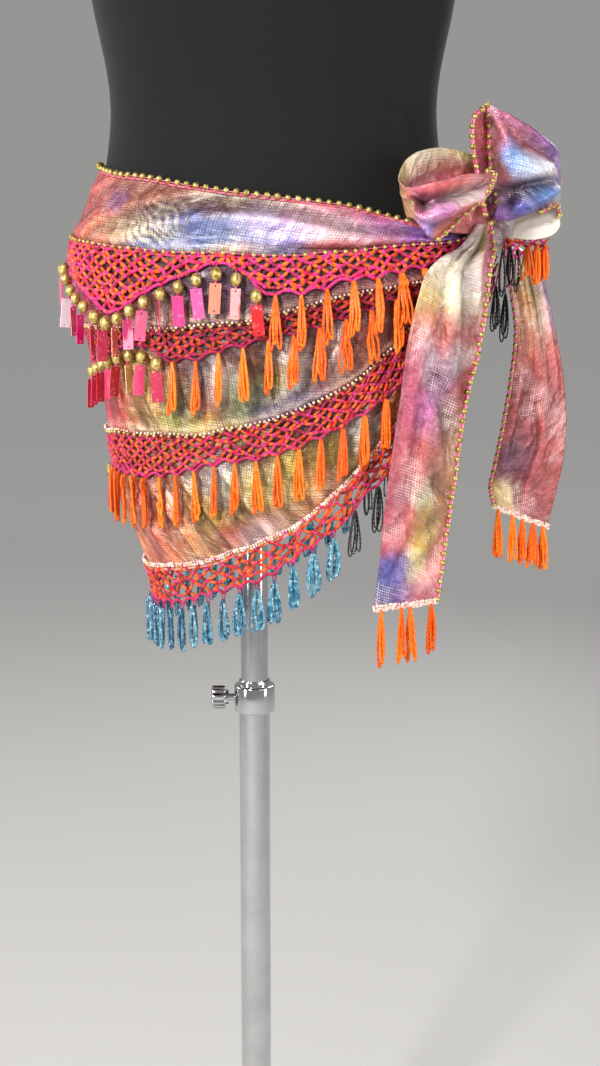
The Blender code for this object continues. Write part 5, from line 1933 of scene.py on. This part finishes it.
def socket_and_cap(metal, coat):
    """Flange under the form with the sleeve that the inner tube enters, and the plug in the neck."""
    bore = MAST_RADIUS + RUNNING_GAP
    top = FORM_BOTTOM - RUNNING_GAP
    flange, sleeve, bore_top = 0.040, 0.018, SOCKET_BOTTOM + 0.014
    socket = turned_piece([
        (0.0, top), (flange, top), (flange, top - 3.4 * MM), (flange - 0.6 * MM, top - 4 * MM),
        (sleeve + 2 * MM, top - 7 * MM), (sleeve + 0.6 * MM, top - 9 * MM), (sleeve, SOCKET_BOTTOM),
        (bore, SOCKET_BOTTOM), (bore, bore_top), (0.0, bore_top),
    ])
    finish_hard(socket, "form_flange", metal, ["form_socket"], "form")
    base = WAIST_HEIGHT + FORM_ROWS[0][0] * MM + RUNNING_GAP
    rim, crown = 0.052, base + 12 * MM
    cap = turned_piece(
        [(0.0, base), (rim, base)] + soft_corner(rim, crown, -1, -1, 5 * MM, 5)[::-1] + [(0.0, crown)]
    )
    cap.location.x = FORM_OFFSET_X
    finish_hard(cap, "neck_plug", coat, ["neck_cap"], "form")


# ---- stage -----------------------------------------------
LIGHT_COLUMNS = ("name", "place", "aim", "width", "height", "power", "spread")
LIGHT_ROWS = (
    ("key", (-0.85, -1.85, 1.70), (0.03, 0.0, 0.88), 0.34, 0.34, 46, 180),
    ("fill", (1.5, -1.5, 1.25), (0.05, 0.0, 0.85), 1.1, 1.1, 7, 180),
    ("rim", (0.9, 1.7, 1.9), (0.0, 0.0, 0.9), 0.9, 0.9, 17, 180),
    ("side", (-1.8, 0.5, 1.3), (0.0, 0.0, 0.85), 1.0, 1.0, 10, 180),
    ("strip_left", (-1.3, -1.0, 0.85), (0.0, 0.0, 0.75), 0.24, 1.1, 1.6, 70),
    ("strip_right", (1.5, -0.7, 0.85), (0.0, 0.0, 0.75), 0.24, 1.1, 1.6, 70),
)


def add_floor():
    """Pale floor, painted whiter further from the stand: painted light that makes up for the lamps' falloff.
    """
    deselect()
    bpy.ops.mesh.primitive_plane_add(size=80.0, location=(0.0, 0.0, -0.5 * MM))
    floor = bpy.context.object
    floor.name = "studio_floor"
    recipe = Recipe("pale_floor", roughness=0.9, specular_ior_level=0.1)
    places = recipe.places()
    x, y, _ = recipe.split(places)
    away = (x * x + y * y) ** 0.5
    near = recipe.mix(recipe.noise(places, 1.2, 2.0), linear("dcdad6"), linear("dfddd9"))
    # painted light: the floor is painted whiter with distance, to even out the lamps' falloff towards the
    # horizon
    recipe.feed("Base Color", recipe.mix(recipe.step(away, 0.6, 5.0), near, linear("ffffff")))
    floor.data.materials.append(recipe.material)


def add_lights():
    """Soft even light from all round, with lamps in front, behind and at the sides."""
    world = bpy.data.worlds.new("studio")
    bpy.context.scene.world = world
    world.use_nodes = True
    sky = world.node_tree.nodes["Background"]
    sky.inputs["Color"].default_value = (*linear("f4f3f1"), 1.0)
    sky.inputs["Strength"].default_value = 0.34
    for row in records(LIGHT_COLUMNS, LIGHT_ROWS):
        lamp = bpy.data.lights.new(row["name"], "AREA")
        lamp.shape = "RECTANGLE"
        lamp.size = row["width"]
        lamp.size_y = row["height"]
        lamp.energy = row["power"]
        lamp.spread = math.radians(row["spread"])
        holder = bpy.data.objects.new(row["name"], lamp)
        bpy.context.scene.collection.objects.link(holder)
        place, aim = np.array(row["place"]), np.array(row["aim"])
        direction = unit(aim - place)
        quaternion = Vector(direction).to_track_quat("-Z", "Y")
        holder.location = place
        holder.rotation_euler = quaternion.to_euler()


def add_camera():
    """A camera in front, that looks a little down on the scarf."""
    camera = bpy.data.cameras.new("view")
    camera.sensor_width = 36.0
    focal_length, view_height = 1600, 1066     # pixels
    camera.lens = focal_length / view_height * camera.sensor_width
    eye = bpy.data.objects.new("view", camera)
    bpy.context.scene.collection.objects.link(eye)
    look_down = 10.0
    eye.location = (0.037, -1.2606, 0.9139)
    eye.rotation_euler = (math.radians(90.0 - look_down), 0.0, 0.0)
    bpy.context.scene.camera = eye
    bpy.context.scene.view_settings.view_transform = "Standard"


# ---- the whole -------------------------------------------
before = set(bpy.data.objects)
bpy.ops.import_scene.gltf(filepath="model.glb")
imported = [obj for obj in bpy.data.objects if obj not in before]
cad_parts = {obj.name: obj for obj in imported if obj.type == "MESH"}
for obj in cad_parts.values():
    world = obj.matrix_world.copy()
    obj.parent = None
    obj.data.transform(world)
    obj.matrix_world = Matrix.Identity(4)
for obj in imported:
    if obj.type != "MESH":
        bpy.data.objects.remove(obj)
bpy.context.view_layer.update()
add_floor()
add_lights()
add_camera()

face = dyed_lame("dyed_lame", 0.34, 0.84, 105.0, "34202e")
bow_face = dyed_lame("dyed_lame_bow", 0.46, 0.62, 150.0, "785a68")
reverse = lame_reverse()
thread = crochet_thread()
orange = glass_bead("orange_bead", 0.36, 0.04)
blue = blue_bead()
black = glass_bead("black_bead", 0.10, 0.8)
brass = brass_bead()
spangle_look = spangle_finish()
metal = chrome()
coat = powder_coat()

form_body(black_jersey())
socket_and_cap(metal, coat)
stand(metal, coat)
clamp(metal)

round_bead = ball_pattern(2.0 * MM, 3.8 * MM)
oval_bead = ball_pattern(4.15 * MM, 10.6 * MM, 14, 10)
small_knot = knot_pattern(1.25 * MM)
spangle = spangle_pattern(8.3 * MM, 21.4 * MM, 0.5 * MM, 1.3 * MM)
bead_finishes = {"orange_beads": orange, "blue_beads": blue, "black_beads": black}

for side in SIDES:
    panel = scarf_panel(side, face, reverse)
    trims = [crochet_net(side, net, thread, small_knot) for net in records(NET_COLUMNS, NET_ROWS)]
    for edge in records(EDGE_COLUMNS, EDGE_ROWS):
        trims += edge_trim(side, edge, thread, brass, round_bead, small_knot)
    for trim in records(TRIM_COLUMNS, TRIM_ROWS):
        if trim["kind"] == "loop":
            trims += loop_trim(side, trim, bead_finishes[trim["finish"]], thread)
        else:
            trims += drop_trim(side, trim, (oval_bead, spangle, small_knot), (thread, brass, spangle_look))

knot_wrap(bow_face)
left_loop, left_points = bow_loop(
    "bow_left", "bow_loop_left", LEFT_LOOP_ROWS, LEFT_LOOP_DYE, LEFT_LOOP_CREASES, bow_face, bow_face,
    LEFT_LOOP_DENTS)
right_loop, right_points = bow_loop(
    "bow_right", "bow_loop_right", RIGHT_LOOP_ROWS, RIGHT_LOOP_DYE, RIGHT_LOOP_CREASES, bow_face, reverse)
front_tail, front_points = tail(
    "tail_long", "tail_front", FRONT_TAIL_ROWS, FRONT_TAIL_DYE, FRONT_TAIL_CREASES, bow_face, reverse)
back_tail, back_points = tail(
    "tail_short", "tail_back", BACK_TAIL_ROWS, BACK_TAIL_DYE, BACK_TAIL_CREASES, bow_face, reverse)
border_look = (thread, brass, round_bead)
left_trims = beaded_border("left_loop_end", left_points[:, -1], 4.7, 7.0, *border_look)
right_trims = (
    beaded_border("right_loop_flange", right_points[:, 0], 4.7, 7.2, *border_look)
    + beaded_border("right_loop_fold", right_points[:, FOLD_LINE], 4.6, 7.6, *border_look)
    + beaded_border("right_loop_hem", right_points[-1, HEM_LINES], 4.6, 6.6, *border_look)
)
front_trims = beaded_border("front_tail_side", front_points[:, -1], 4.8, 7.2, *border_look)
front_trims += tail_end(
    "front_tail", "loops_tail_front", front_points, (0.10, 0.42, 0.55, 0.90), 44, thread, orange, round_bead)
back_trims = beaded_border("back_tail_side", back_points[:, 0], 3.8, 6.8, *border_look)
back_trims += tail_end(
    "back_tail", "loops_tail_back", back_points, (0.08, 0.34, 0.52, 0.70, 0.90), 42, thread, orange,
    round_bead)
back_trims += stray_ends(bead_finishes, thread)
